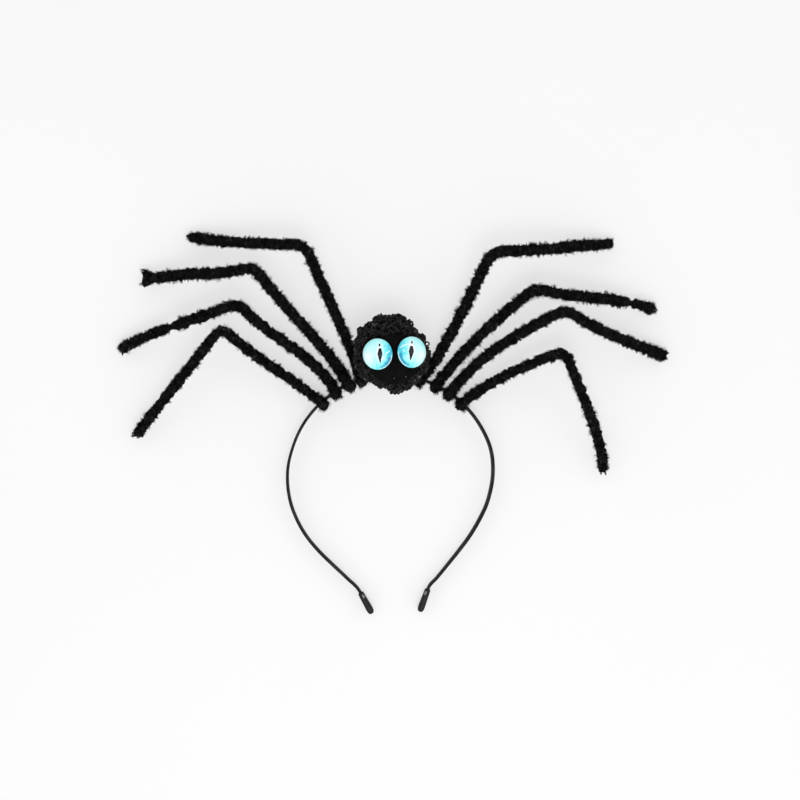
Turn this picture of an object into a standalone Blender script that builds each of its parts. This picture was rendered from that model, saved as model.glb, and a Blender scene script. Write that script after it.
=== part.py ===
"""Spider headband, lying on its back with its face up.

A sprung metal strip with a rubber sleeve on each end carries a curly yarn ball.
The ball has a felt pad and two glass eyes on its front, and four chenille legs
are hooked over the strip on each side of it.
X runs across the head, Y from the ear ends to the crown, Z from the floor to the face.
"""

import math
from collections import namedtuple

import bmesh
import bpy
from mathutils import Matrix, Vector

# Clearance between pieces that touch
GAP = 0.0003

# Strip
BAND_RADIUS = 0.0608
ROUND_ANGLES = range(-75, 76, 15)
STRIP_THICKNESS = 0.0012
STRIP_DEPTH = 0.0050
STRIP_STEP = 0.0042

# Rubber sleeves on the strip's ends
SLEEVE_LENGTH = 0.0138
SLEEVE_WIDTH = 0.0039
SLEEVE_DEPTH = 0.0070
SLEEVE_END_WALL = 0.0024
SLEEVE_LEAD = 0.0014
SLEEVE_CORNER = 0.32
SLEEVE_LEAN = {"left": math.radians(-29), "right": math.radians(20)}

# Yarn ball
BALL_RADIUS = 0.0226
BALL_HALF_DEPTH = 0.0205
BALL_LIFT = 0.0015
BALL_RISE = 0.0127
BALL_SHIFT = 0.0005
CURL_RISE = 0.0026
CURL_WIDTH = 0.0076
CURL_COUNT = 70
CURL_SIDES = 5
CURL_UNEVEN = 0.14
CURL_UNEVEN_TURN = 2.3
CURL_LEAN_TURN = 2.4
CURL_TILT = 0.8

# Felt pad on the ball, bent over it
FACE_CURVE = 0.0280
PAD_DIAMETER = 0.0300
PAD_THICKNESS = 0.0022
PAD_RIM = 0.28
PAD_PRESS = 0.0006
PAD_ACROSS = 0.0010
PAD_DROP = 0.0050
PAD_STEPS = 28

# Glass eyes with flat backs
EYE_DIAMETER = 0.0180
EYE_HEIGHT = 0.0055
EYE_GIRDLE = 0.0012
EYE_CHAMFER = 0.0003
EYE_SINK = 0.0010
EYE_STEPS = 24
DOME_ANGLES = (0, 25, 48, 70, 90)

# Chenille legs, each two strands twisted together
LEG_LENGTH = 0.152
LEG_WIDTH = 0.0066
LEG_LOBE = 0.09
LEG_TWIST_PITCH = 0.0165
LEG_STEP = 0.0030
LEG_SIDES = 6
WAIST_LENGTH = 0.12
FLARE_START = 0.86
FLARE_POWER = 1.5
KNEE_HEIGHT = 0.0200
KNEE_ROUND = 0.0080
HOOK_REACH = 0.0050
HOOK_WIDTH = 0.0070
HOOK_DEPTH = 0.0116

# Lower arms of the strip: drop below the round part's centre and distance out from it,
# as shares of BAND_RADIUS. Each sleeve starts just past its arm's last row.
ArmRow = namedtuple("ArmRow", "drop out")
ARMS = {
    "left": (
        ArmRow(-0.130, 0.996),
        ArmRow(0.000, 1.004),
        ArmRow(0.120, 0.995),
        ArmRow(0.235, 0.972),
        ArmRow(0.410, 0.905),
        ArmRow(0.560, 0.817),
        ArmRow(0.700, 0.700),
        ArmRow(0.835, 0.563),
        ArmRow(0.960, 0.430),
        ArmRow(1.085, 0.308),
    ),
    "right": (
        ArmRow(-0.130, 0.981),
        ArmRow(0.000, 0.977),
        ArmRow(0.120, 0.956),
        ArmRow(0.235, 0.924),
        ArmRow(0.410, 0.842),
        ArmRow(0.560, 0.752),
        ArmRow(0.700, 0.648),
        ArmRow(0.835, 0.540),
        ArmRow(0.960, 0.438),
        ArmRow(1.050, 0.360),
    ),
}
SIDE_SIGN = {"left": -1, "right": 1}

# Sleeve sections from mouth to end, as shares of its length, width and depth
SleeveRow = namedtuple("SleeveRow", "along width depth")
SLEEVE_ROWS = (
    SleeveRow(0.00, 0.84, 0.93),
    SleeveRow(0.74, 1.00, 1.00),
    SleeveRow(0.90, 0.88, 0.93),
    SleeveRow(0.98, 0.58, 0.74),
    SleeveRow(1.00, 0.28, 0.52),
)

# Hook of a leg round the strip: distance from the strip's centre as a share of
# HOOK_REACH, width as a share of HOOK_WIDTH and depth as a share of HOOK_DEPTH
HookRow = namedtuple("HookRow", "along width depth")
HOOK_ROWS = (
    HookRow(-1.00, 0.34, 0.34),
    HookRow(-0.86, 0.72, 0.70),
    HookRow(-0.50, 0.97, 0.95),
    HookRow(0.30, 1.00, 1.00),
    HookRow(0.90, 0.98, 0.86),
    HookRow(1.50, 0.96, 0.66),
)

# Rounded end of a leg: distance back from the tip and width, as shares of the leg's width
TipRow = namedtuple("TipRow", "back width")
TIP_ROWS = (TipRow(0.42, 1.00), TipRow(0.14, 0.86), TipRow(0.00, 0.52))

# Sections of one curl from its foot up: height as a share of CURL_RISE, shift and size
# as shares of its radius
CurlRow = namedtuple("CurlRow", "height shift size")
CURL_ROWS = (
    CurlRow(-0.90, 0.00, 0.90),
    CurlRow(0.25, 0.00, 1.00),
    CurlRow(0.85, 0.26, 0.80),
    CurlRow(1.00, 0.66, 0.42),
)

# A leg segment's sideways offset: a bow peaks once and a sway once to each side.
# These factors make both peaks one.
BOW_PEAK = 4.0
SWAY_PEAK = 6 * math.sqrt(3)

# Legs. Angles are in degrees clockwise from the crown. Lengths are shares of LEG_LENGTH,
# a bow or sway is a share of its own segment, heights and widths are shares of
# KNEE_HEIGHT and LEG_WIDTH, and a waist lies at a share of the shin.
LegRow = namedtuple("LegRow", "name hip thigh thigh_turn thigh_bow thigh_sway "
                              "shin shin_turn shin_bow shin_sway knee tip waist_at waist")
LEGS = (
    LegRow("leg_left_1", -16.9, 0.571, -23.1, -0.011, -0.004,
           0.443, -87.5, 0.026, 0.003, 0.90, 1.05, 0.50, 1.00),
    LegRow("leg_left_2", -24.4, 0.578, -38.5, -0.005, -0.012,
           0.442, -94.4, 0.030, 0.019, 1.00, 1.42, 0.60, 0.94),
    LegRow("leg_left_3", -32.9, 0.504, -46.4, -0.023, -0.030,
           0.502, -111.2, -0.009, 0.011, 0.95, 1.10, 0.52, 0.66),
    LegRow("leg_left_4", -42.4, 0.484, -52.1, 0.007, -0.011,
           0.546, -141.4, 0.001, 0.004, 0.90, 1.12, 0.50, 1.00),
    LegRow("leg_right_1", 16.4, 0.555, 28.3, -0.018, -0.004,
           0.480, 84.7, -0.033, 0.009, 1.05, 1.00, 0.50, 1.00),
    LegRow("leg_right_2", 25.9, 0.533, 44.6, 0.037, 0.008,
           0.476, 100.3, 0.004, -0.019, 0.92, 1.15, 0.80, 0.66),
    LegRow("leg_right_3", 34.3, 0.550, 53.1, 0.062, 0.012,
           0.437, 114.7, -0.037, -0.009, 1.00, 0.96, 0.50, 0.97),
    LegRow("leg_right_4", 43.2, 0.446, 62.2, 0.047, 0.008,
           0.499, 161.7, 0.027, -0.012, 0.95, 1.05, 0.50, 1.00),
)

# Eyes: girdle centre from the face's middle, as shares of EYE_DIAMETER
EyeRow = namedtuple("EyeRow", "name across up")
EYES = (EyeRow("eye_left", -0.440, -0.060), EyeRow("eye_right", 0.610, 0.000))

# Legs whose roots press into the ball
LEGS_BY_BALL = ("leg_left_1", "leg_right_1")


def clear_scene():
    for obj in list(bpy.data.objects):
        bpy.data.objects.remove(obj, do_unlink=True)


def make_material(name, colour, roughness, metallic=0.0):
    mat = bpy.data.materials.new(name)
    mat.use_nodes = True
    shader = mat.node_tree.nodes["Principled BSDF"]
    shader.inputs["Base Color"].default_value = (*colour, 1.0)
    shader.inputs["Roughness"].default_value = roughness
    shader.inputs["Metallic"].default_value = metallic
    return mat


def add_object(name, mesh, group, parent=None, mat=None):
    obj = bpy.data.objects.new(name, mesh)
    group.objects.link(obj)
    obj.parent = parent
    if mat:
        obj.data.materials.append(mat)
    return obj


def hide_cutter(obj):
    obj.hide_render = True
    obj.display_type = "WIRE"


def mesh_from(bm, name):
    bmesh.ops.recalc_face_normals(bm, faces=bm.faces)
    mesh = bpy.data.meshes.new(name)
    bm.to_mesh(mesh)
    bm.free()
    return mesh


def shade_round(mesh, angle=50):
    mesh.shade_smooth()
    mesh.set_sharp_from_angle(angle=math.radians(angle))


def add_loft(bm, rings):
    """Join rings of equal counts into one closed tube."""
    loops = [[bm.verts.new(p) for p in ring] for ring in rings]
    count = len(loops[0])
    for near, far in zip(loops, loops[1:]):
        for i in range(count):
            j = (i + 1) % count
            bm.faces.new((near[i], near[j], far[j], far[i]))
    bm.faces.new(loops[0])
    bm.faces.new(loops[-1])


def cut(obj, cutter, operation="DIFFERENCE"):
    mod = obj.modifiers.new(operation.lower(), "BOOLEAN")
    mod.operation = operation
    mod.object = cutter
    return mod


def smooth_path(knots, step):
    """Hermite curve through the knots, with a point about every step."""
    spans = [(b - a).length for a, b in zip(knots, knots[1:])]
    slopes = [(knots[1] - knots[0]) / spans[0]]
    for i in range(1, len(knots) - 1):
        before = (knots[i] - knots[i - 1]) / spans[i - 1]
        after = (knots[i + 1] - knots[i]) / spans[i]
        slopes.append((before * spans[i] + after * spans[i - 1]) / (spans[i - 1] + spans[i]))
    slopes.append((knots[-1] - knots[-2]) / spans[-1])
    points = [knots[0]]
    for i, span in enumerate(spans):
        steps = max(1, round(span / step))
        for k in range(1, steps + 1):
            t = k / steps
            points.append(knots[i] * (2 * t ** 3 - 3 * t ** 2 + 1)
                          + slopes[i] * span * (t ** 3 - 2 * t ** 2 + t)
                          + knots[i + 1] * (3 * t ** 2 - 2 * t ** 3)
                          + slopes[i + 1] * span * (t ** 3 - t ** 2))
    return points


def heading(angle):
    """Direction in the band's plane, clockwise from the crown."""
    return Vector((math.sin(angle), math.cos(angle), 0))


def arm_end(side):
    """Last point of an arm and the direction of its sleeve."""
    row = ARMS[side][-1]
    point = Vector((SIDE_SIGN[side] * row.out, -row.drop, 0)) * BAND_RADIUS
    return point, -heading(SLEEVE_LEAN[side])


def arm_knots(side):
    """Knots of one arm, from the round part down into its sleeve."""
    sign = SIDE_SIGN[side]
    knots = [Vector((sign * row.out, -row.drop, 0)) * BAND_RADIUS for row in ARMS[side]]
    end, axis = arm_end(side)
    grip = SLEEVE_LENGTH - SLEEVE_END_WALL
    for along in (SLEEVE_LEAD, SLEEVE_LEAD + grip / 2, SLEEVE_LEAD + grip):
        knots.append(end + axis * along)
    return knots


def band_path():
    """Centreline of the strip from the left sleeve over the crown to the right one."""
    arc = [heading(math.radians(a)) * BAND_RADIUS for a in ROUND_ANGLES]
    knots = arm_knots("left")[::-1] + arc + arm_knots("right")
    return smooth_path(knots, STRIP_STEP)


def ribbon(name, depth, thickness, group, parent, mat=None):
    """The strip's middle surface, thickened by Solidify."""
    bm = bmesh.new()
    verts = [bm.verts.new(p - Vector((0, 0, depth / 2))) for p in band_path()]
    edges = [bm.edges.new(pair) for pair in zip(verts, verts[1:])]
    wall = bmesh.ops.extrude_edge_only(bm, edges=edges)["geom"]
    raised = [v for v in wall if isinstance(v, bmesh.types.BMVert)]
    bmesh.ops.translate(bm, verts=raised, vec=(0, 0, depth))
    obj = add_object(name, mesh_from(bm, name), group, parent, mat)
    shell = obj.modifiers.new("thickness", "SOLIDIFY")
    shell.thickness = thickness
    shell.offset = 0
    shell.use_even_offset = True
    return obj


def sleeve_back_y():
    """Lowest place along Y where a sleeve stands on the floor."""
    tips = [end + axis * (SLEEVE_LEAD + SLEEVE_LENGTH * SLEEVE_ROWS[1].along)
            for end, axis in (arm_end("left"), arm_end("right"))]
    return min(p.y for p in tips)


def hook_back_y():
    """Lowest place along Y where a hook stands on the floor."""
    return min(math.cos(math.radians(row.hip)) for row in LEGS) * BAND_RADIUS - HOOK_REACH / 2


def band_slope():
    """Rise of the band's plane, which stands on the sleeves and on the thicker hooks."""
    return (HOOK_DEPTH - SLEEVE_DEPTH) / 2 / (hook_back_y() - sleeve_back_y())


def band_height(y):
    return SLEEVE_DEPTH / 2 + (y - sleeve_back_y()) * band_slope()


def add_band_frame(group):
    """Empty that carries the band's plane, tilted as it rests."""
    frame = bpy.data.objects.new("band_plane", None)
    group.objects.link(frame)
    frame.location = (0, 0, band_height(0))
    frame.rotation_euler = (math.atan(band_slope()), 0, 0)
    return frame


def rounded_section(width, depth, corner):
    """Rectangle across X and Z, each corner rounded in two steps."""
    x, z = width / 2, depth / 2
    turn = corner * (1 - math.sqrt(0.5))
    quarter = ((x, z - corner), (x - turn, z - turn), (x - corner, z))
    points = []
    for sign_x, sign_z, order in ((1, 1, 1), (-1, 1, -1), (-1, -1, 1), (1, -1, -1)):
        points += [(sign_x * px, sign_z * pz) for px, pz in quarter[::order]]
    return points


def add_sleeve(side, group, cutters, parent, mat):
    """Rubber sleeve with a slot for the strip, open at its mouth."""
    end, axis = arm_end(side)
    mouth = end + axis * SLEEVE_LEAD
    across = Vector((axis.y, -axis.x, 0))
    place = Matrix((across, axis, Vector((0, 0, 1)))).transposed()
    bm = bmesh.new()
    rings = []
    for row in SLEEVE_ROWS:
        width, depth = SLEEVE_WIDTH * row.width, SLEEVE_DEPTH * row.depth
        ring = rounded_section(width, depth, width * SLEEVE_CORNER)
        rings.append([mouth + place @ Vector((x, SLEEVE_LENGTH * row.along, z)) for x, z in ring])
    add_loft(bm, rings)
    name = "tip_" + side
    sleeve = add_object(name, mesh_from(bm, name), group, parent, mat)
    cut(sleeve, add_slot(name + "_slot", mouth, place, cutters, parent))
    shade_round(sleeve.data)
    return sleeve


def add_slot(name, mouth, place, cutters, parent):
    """Box that clears the strip inside a sleeve."""
    length = SLEEVE_LENGTH - SLEEVE_END_WALL + GAP
    overrun = SLEEVE_LENGTH
    size = (STRIP_THICKNESS + 2 * GAP, length + overrun, STRIP_DEPTH + 2 * GAP)
    bm = bmesh.new()
    bmesh.ops.create_cube(bm, size=1, matrix=Matrix.Diagonal((*size, 1)))
    slot = add_object(name, mesh_from(bm, name), cutters, parent)
    middle = mouth + place @ Vector((0, (length - overrun) / 2, 0))
    slot.matrix_local = Matrix.Translation(middle) @ place.to_4x4()
    hide_cutter(slot)
    return slot


def segment_point(start, end, bow, sway, t):
    """Point on a leg segment that bows to one side and sways."""
    run = end - start
    side = Vector((-run.y, run.x, 0))
    offset = (bow * BOW_PEAK + sway * SWAY_PEAK * (1 - 2 * t)) * t * (1 - t)
    return start + run * t + side * offset


def leg_joints(row):
    """Hip, knee corner and tip of a leg."""
    hip = heading(math.radians(row.hip)) * BAND_RADIUS
    hip.z = band_height(hip.y)
    knee = hip + heading(math.radians(row.thigh_turn)) * row.thigh * LEG_LENGTH
    knee.z = KNEE_HEIGHT * row.knee
    tip = knee + heading(math.radians(row.shin_turn)) * row.shin * LEG_LENGTH
    tip.z = LEG_WIDTH * row.tip * (1 + LEG_LOBE) / 2
    return hip, knee, tip


def leg_points(row):
    """Centreline of a leg from its hip to its tip, with a share along the shin for each point."""
    hip, knee, tip = leg_joints(row)
    thigh_length = (knee - hip).length
    shin_length = (tip - knee).length
    points = []
    steps = round((thigh_length - KNEE_ROUND) / LEG_STEP)
    for k in range(steps + 1):
        t = k / steps * (1 - KNEE_ROUND / thigh_length)
        point = segment_point(hip, knee, row.thigh_bow, row.thigh_sway, t)
        point.z = hip.z + (knee.z - hip.z) * (1 - math.cos(math.pi * t)) / 2
        points.append((point, 0.0))
    shin = []
    steps = round((shin_length - KNEE_ROUND) / LEG_STEP)
    first = KNEE_ROUND / shin_length
    for k in range(steps + 1):
        t = first + k / steps * (1 - first)
        point = segment_point(knee, tip, row.shin_bow, row.shin_sway, t)
        point.z = tip.z + (knee.z - tip.z) * math.cos(math.pi / 2 * t)
        shin.append((point, t))
    start, end = points[-1][0], shin[0][0]
    steps = round(2 * KNEE_ROUND / LEG_STEP)
    for k in range(1, steps):
        t = k / steps
        bend = start * (1 - t) ** 2 + knee * 2 * t * (1 - t) + end * t ** 2
        points.append((bend, first * t))
    return points + shin


def shin_width(row, share):
    """Width of the shin as a share of LEG_WIDTH, with its waist and the spread of its tip."""
    waist = 1 - (1 - row.waist) * math.exp(-((share - row.waist_at) / WAIST_LENGTH) ** 2)
    flare = max(0.0, (share - FLARE_START) / (1 - FLARE_START))
    return waist * (1 + (row.tip - 1) * flare ** FLARE_POWER)


def leg_sections(row, grow):
    """Centre, width, depth and lobe of each ring of a leg, from its hook to its tip."""
    points = leg_points(row)
    hip = points[0][0]
    first = (points[1][0] - hip).normalized()
    rows = []
    for hook in HOOK_ROWS:
        centre = hip + first * hook.along * HOOK_REACH
        rows.append((centre, HOOK_WIDTH * hook.width, HOOK_DEPTH * hook.depth, 0.0))
    hook_end = HOOK_REACH * HOOK_ROWS[-1].along + LEG_STEP / 2
    tip_start = LEG_WIDTH * TIP_ROWS[0].back + LEG_STEP / 2
    tip = points[-1][0]
    for point, share in points:
        if (point - hip).length > hook_end and (point - tip).length > tip_start:
            width = LEG_WIDTH * shin_width(row, share)
            rows.append((point, width, width, LEG_LOBE))
    last = (tip - points[-3][0]).normalized()
    for end in TIP_ROWS:
        width = LEG_WIDTH * row.tip * end.width
        rows.append((tip - last * end.back * LEG_WIDTH, width, width, LEG_LOBE))
    sections = []
    for centre, width, depth, lobe in rows:
        sections.append((centre, width + 2 * grow, depth + 2 * grow, lobe))
    return sections


def leg_mesh(row, name, grow=0.0):
    """Two twisted strands as one tube: an oval that turns as it runs along the leg."""
    sections = leg_sections(row, grow)
    rings = []
    travelled = 0.0
    squash = math.cos(math.pi / LEG_SIDES)
    for i, (centre, width, depth, lobe) in enumerate(sections):
        before = sections[max(i - 1, 0)][0]
        after = sections[min(i + 1, len(sections) - 1)][0]
        along = (after - before).normalized()
        side = along.cross(Vector((0, 0, 1))).normalized()
        up = side.cross(along)
        travelled += (centre - before).length
        ring = []
        for k in range(LEG_SIDES):
            angle = 2 * math.pi * k / LEG_SIDES
            reach = 1 + lobe * math.cos(2 * (angle - 2 * math.pi * travelled / LEG_TWIST_PITCH))
            ring.append(centre + side * math.cos(angle) * width / 2 * reach
                        + up * math.sin(angle) * depth / 2 / squash * reach)
        rings.append(ring)
    bm = bmesh.new()
    add_loft(bm, rings)
    return mesh_from(bm, name)


def add_leg(row, group, parent, mat, strip_cutter):
    leg = add_object(row.name, leg_mesh(row, row.name), group, parent, mat)
    shade_round(leg.data, 80)
    cut(leg, strip_cutter)
    return leg


def add_leg_room(row, group, parent):
    """Cutter that clears a leg."""
    name = row.name + "_room"
    room = add_object(name, leg_mesh(row, name, GAP), group, parent)
    hide_cutter(room)
    return room


def ball_centre():
    return Vector((BALL_SHIFT, BAND_RADIUS + BALL_RISE, BALL_LIFT + BALL_HALF_DEPTH))


def core_radii():
    wide = BALL_RADIUS - CURL_RISE
    return Vector((wide, wide, BALL_HALF_DEPTH - CURL_RISE))


def face_centre():
    """Middle of the sphere that the pad's front follows."""
    front = core_radii().z - PAD_PRESS + GAP + PAD_THICKNESS
    return ball_centre() + Vector((0, 0, front - FACE_CURVE))


def face_direction(across, up):
    """Direction from the face's centre to a point of its front."""
    return Vector((across, up, math.sqrt(FACE_CURVE ** 2 - across ** 2 - up ** 2))).normalized()


def turned(name, profile, place, steps, group, parent, mat=None):
    """Profile of radius and height points, turned about its own axis."""
    bm = bmesh.new()
    verts = [bm.verts.new((x, 0, z)) for x, z in profile]
    for pair in zip(verts, verts[1:]):
        bm.edges.new(pair)
    mesh = bpy.data.meshes.new(name)
    bm.to_mesh(mesh)
    bm.free()
    obj = add_object(name, mesh, group, parent, mat)
    obj.matrix_local = place
    screw = obj.modifiers.new("turn", "SCREW")
    screw.steps = steps
    screw.render_steps = steps
    screw.use_merge_vertices = True
    screw.merge_threshold = 0.00002
    screw.use_smooth_shade = True
    return obj


def along_axis(origin, axis):
    """Placement at origin with its Z along axis."""
    return Matrix.Translation(origin) @ axis.to_track_quat("Z", "Y").to_matrix().to_4x4()


def eye_placement(row):
    axis = face_direction(row.across * EYE_DIAMETER, row.up * EYE_DIAMETER)
    return along_axis(face_centre() + axis * (FACE_CURVE - EYE_SINK), axis)


def add_eye(row, group, parent, mat):
    """Glass cabochon: flat back, short girdle and a dome."""
    radius = EYE_DIAMETER / 2
    rise = EYE_HEIGHT - EYE_GIRDLE
    profile = [(radius * math.sin(a), EYE_GIRDLE + rise * math.cos(a))
               for a in (math.radians(d) for d in DOME_ANGLES)]
    profile += [(radius, EYE_CHAMFER), (radius - EYE_CHAMFER, 0.0), (0.0, 0.0)]
    return turned(row.name, profile, eye_placement(row), EYE_STEPS, group, parent, mat)


def add_eye_seat(row, group, parent):
    """Cutter that clears an eye and everything in front of its back."""
    radius = EYE_DIAMETER / 2 + GAP
    top = FACE_CURVE
    profile = [(0.0, top), (radius, top), (radius, -GAP), (0.0, -GAP)]
    seat = turned(row.name + "_seat", profile, eye_placement(row), EYE_STEPS, group, parent)
    hide_cutter(seat)
    return seat


def on_sphere(radius, angle):
    """Profile point of a sphere about the origin, at an angle from its axis."""
    return radius * math.sin(angle), radius * math.cos(angle)


def pad_profile():
    """Profile of the felt between two spheres about the face's centre, with a soft rim."""
    outer, inner = FACE_CURVE, FACE_CURVE - PAD_THICKNESS
    angle = math.asin(PAD_DIAMETER / 2 / FACE_CURVE)
    rim = PAD_THICKNESS * PAD_RIM
    trim = angle - rim / outer
    front = [on_sphere(outer, angle * k / 4) for k in range(4)]
    edge = [on_sphere(outer, trim), on_sphere(outer - rim, angle), on_sphere(inner + rim, angle)]
    back = [on_sphere(inner, trim * k / 3) for k in (3, 2, 1, 0)]
    return front + edge + back


def pad_placement():
    return along_axis(face_centre(), face_direction(PAD_ACROSS, -PAD_DROP))


def add_pad(group, parent, mat, eye_seats):
    """Felt disc bent over the ball, pressed flat under the eyes."""
    pad = turned("face_pad", pad_profile(), pad_placement(), PAD_STEPS, group, parent, mat)
    for seat in eye_seats:
        cut(pad, seat)
    return pad


def add_pad_seat(group, parent):
    """Cutter that clears the pad and everything in front of its back."""
    inner = FACE_CURVE - PAD_THICKNESS - GAP
    angle = math.asin((PAD_DIAMETER / 2 + GAP) / FACE_CURVE)
    top = FACE_CURVE * 2
    profile = [(0.0, top), (top * math.tan(angle), top)]
    profile += [on_sphere(inner, angle * k / 4) for k in (4, 3, 2, 1, 0)]
    seat = turned("pad_seat", profile, pad_placement(), PAD_STEPS, group, parent)
    hide_cutter(seat)
    return seat


def curl_rings(centre, outward, lean, radius, rise):
    """Rings of one curl: a short fat lock of yarn that bends over to one side."""
    side = outward.orthogonal().normalized()
    side.rotate(Matrix.Rotation(lean, 3, outward))
    across = outward.cross(side)
    rings = []
    for row in CURL_ROWS:
        middle = centre + outward * rise * row.height + side * radius * row.shift
        slanted = side - outward * math.sin(row.shift) * CURL_TILT
        ring = []
        for k in range(CURL_SIDES):
            angle = 2 * math.pi * k / CURL_SIDES
            reach = slanted * math.cos(angle) + across * math.sin(angle)
            ring.append(middle + reach * radius * row.size)
        rings.append(ring)
    return rings


def curl_places():
    """Even spread of directions over the ball, each with a lean and a size of its own."""
    golden = math.pi * (3 - math.sqrt(5))
    for i in range(CURL_COUNT):
        z = 1 - (2 * i + 1) / CURL_COUNT
        flat = math.sqrt(1 - z * z)
        outward = Vector((flat * math.cos(golden * i), flat * math.sin(golden * i), z))
        size = 1 - CURL_UNEVEN * (1 - math.sin(CURL_UNEVEN_TURN * i))
        yield outward, CURL_LEAN_TURN * i, size


def add_curls(group, parent):
    """All the ball's curls outside the pad, as one set of locks."""
    bm = bmesh.new()
    centre, radii = ball_centre(), core_radii()
    pad_axis = face_direction(PAD_ACROSS, -PAD_DROP)
    bare = math.asin(PAD_DIAMETER / 2 / FACE_CURVE)
    for outward, lean, size in curl_places():
        if outward.angle(pad_axis) < bare:
            continue
        foot = centre + Vector(o * r for o, r in zip(outward, radii))
        normal = Vector(o / r for o, r in zip(outward, radii)).normalized()
        add_loft(bm, curl_rings(foot, normal, lean, CURL_WIDTH / 2 * size, CURL_RISE * size))
    curls = add_object("curls", mesh_from(bm, "curls"), group, parent)
    hide_cutter(curls)
    return curls


def main_body(obj):
    """Bake the cuts into the mesh and keep its one connected body."""
    depsgraph = bpy.context.evaluated_depsgraph_get()
    mesh = bpy.data.meshes.new_from_object(obj.evaluated_get(depsgraph))
    bm = bmesh.new()
    bm.from_mesh(mesh)
    bodies = []
    left = set(bm.verts)
    while left:
        front = [left.pop()]
        body = set(front)
        while front:
            vert = front.pop()
            for edge in vert.link_edges:
                other = edge.other_vert(vert)
                if other in left:
                    left.remove(other)
                    body.add(other)
                    front.append(other)
        bodies.append(body)
    keep = max(bodies, key=len)
    bmesh.ops.delete(bm, geom=[v for v in bm.verts if v not in keep], context="VERTS")
    bm.to_mesh(mesh)
    bm.free()
    obj.modifiers.clear()
    obj.data = mesh


def add_ball(group, cutters, parent, mat, seats, strip_cutter):
    """Yarn ball: a core with curls, pressed in by the pad, the eyes, the strip and the legs."""
    bm = bmesh.new()
    radii = core_radii()
    bmesh.ops.create_icosphere(bm, subdivisions=2, radius=1, matrix=Matrix.Diagonal((*radii, 1)))
    ball = add_object("pompom", mesh_from(bm, "pompom"), group, parent, mat)
    ball.location = ball_centre()
    curls = cut(ball, add_curls(cutters, parent), "UNION")
    curls.use_self = True
    for seat in seats:
        cut(ball, seat)
    cut(ball, strip_cutter)
    for row in LEGS:
        if row.name in LEGS_BY_BALL:
            cut(ball, add_leg_room(row, cutters, parent))
    main_body(ball)
    shade_round(ball.data, 40)
    return ball


def seat_on_floor(root, pieces):
    """Put the middle of the pieces' common box over the origin, with its base at Z zero."""
    bpy.context.view_layer.update()
    depsgraph = bpy.context.evaluated_depsgraph_get()
    corners = []
    for piece in pieces:
        shape = piece.evaluated_get(depsgraph)
        corners += [shape.matrix_world @ v.co for v in shape.data.vertices]
    low = [min(c[i] for c in corners) for i in range(3)]
    high = [max(c[i] for c in corners) for i in range(3)]
    root.location = (-(low[0] + high[0]) / 2, -(low[1] + high[1]) / 2, -low[2])
    bpy.context.view_layer.update()


def main():
    clear_scene()
    group = bpy.data.collections.new("spider_headband")
    cutters = bpy.data.collections.new("cutters")
    for collection in (group, cutters):
        bpy.context.scene.collection.children.link(collection)

    root = bpy.data.objects.new("floor_origin", None)
    group.objects.link(root)
    band_plane = add_band_frame(group)
    band_plane.parent = root

    metal = make_material("black_metal", (0.018, 0.018, 0.020), 0.34, 0.6)
    rubber = make_material("black_rubber", (0.016, 0.016, 0.017), 0.48)
    yarn = make_material("black_yarn", (0.020, 0.020, 0.021), 0.92)
    felt = make_material("black_felt", (0.017, 0.017, 0.018), 0.97)
    glass = make_material("eye_glass", (0.05, 0.55, 0.75), 0.06)
    chenille = make_material("black_chenille", (0.016, 0.016, 0.017), 0.9)

    strip = ribbon("headband", STRIP_DEPTH, STRIP_THICKNESS, group, band_plane, metal)
    room_depth, room_thickness = STRIP_DEPTH + 2 * GAP, STRIP_THICKNESS + 2 * GAP
    strip_cutter = ribbon("strip_room", room_depth, room_thickness, cutters, band_plane)
    hide_cutter(strip_cutter)
    pieces = [strip]
    for side in ("left", "right"):
        pieces.append(add_sleeve(side, group, cutters, band_plane, rubber))
    for row in LEGS:
        pieces.append(add_leg(row, group, root, chenille, strip_cutter))
    eye_seats = [add_eye_seat(row, cutters, root) for row in EYES]
    pad_seat = add_pad_seat(cutters, root)
    for row in EYES:
        pieces.append(add_eye(row, group, root, glass))
    pieces.append(add_pad(group, root, felt, eye_seats))
    bpy.context.view_layer.update()
    pieces.append(add_ball(group, cutters, root, yarn, [pad_seat] + eye_seats, strip_cutter))
    seat_on_floor(root, pieces)


main()
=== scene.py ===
"""Spider headband on a pale floor, seen from straight above.

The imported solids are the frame. Each one is dressed here: chenille with its pile,
loop yarn with its curls, felt, printed glass eyes, painted strip and rubber sleeves.
X runs across the head, Y towards the crown and Z up from the floor, in metres.
"""

import math
from collections import namedtuple

import bpy
import numpy as np
from mathutils import Matrix, Vector, noise


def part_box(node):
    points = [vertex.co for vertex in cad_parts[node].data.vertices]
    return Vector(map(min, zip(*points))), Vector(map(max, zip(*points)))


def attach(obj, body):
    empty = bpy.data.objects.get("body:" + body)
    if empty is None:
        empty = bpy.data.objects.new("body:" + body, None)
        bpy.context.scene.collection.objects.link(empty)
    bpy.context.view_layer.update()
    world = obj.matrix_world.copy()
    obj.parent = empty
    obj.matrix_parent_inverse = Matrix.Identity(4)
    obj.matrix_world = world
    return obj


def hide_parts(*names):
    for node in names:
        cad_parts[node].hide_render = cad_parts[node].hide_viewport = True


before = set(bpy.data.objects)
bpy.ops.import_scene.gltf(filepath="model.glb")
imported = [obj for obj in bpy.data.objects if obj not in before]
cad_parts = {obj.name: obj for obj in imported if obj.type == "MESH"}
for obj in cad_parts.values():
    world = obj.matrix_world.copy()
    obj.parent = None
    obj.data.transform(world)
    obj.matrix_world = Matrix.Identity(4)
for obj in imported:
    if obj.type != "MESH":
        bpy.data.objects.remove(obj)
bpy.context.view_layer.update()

BODY = "root"
SEED = 7
MM = 0.001

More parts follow.
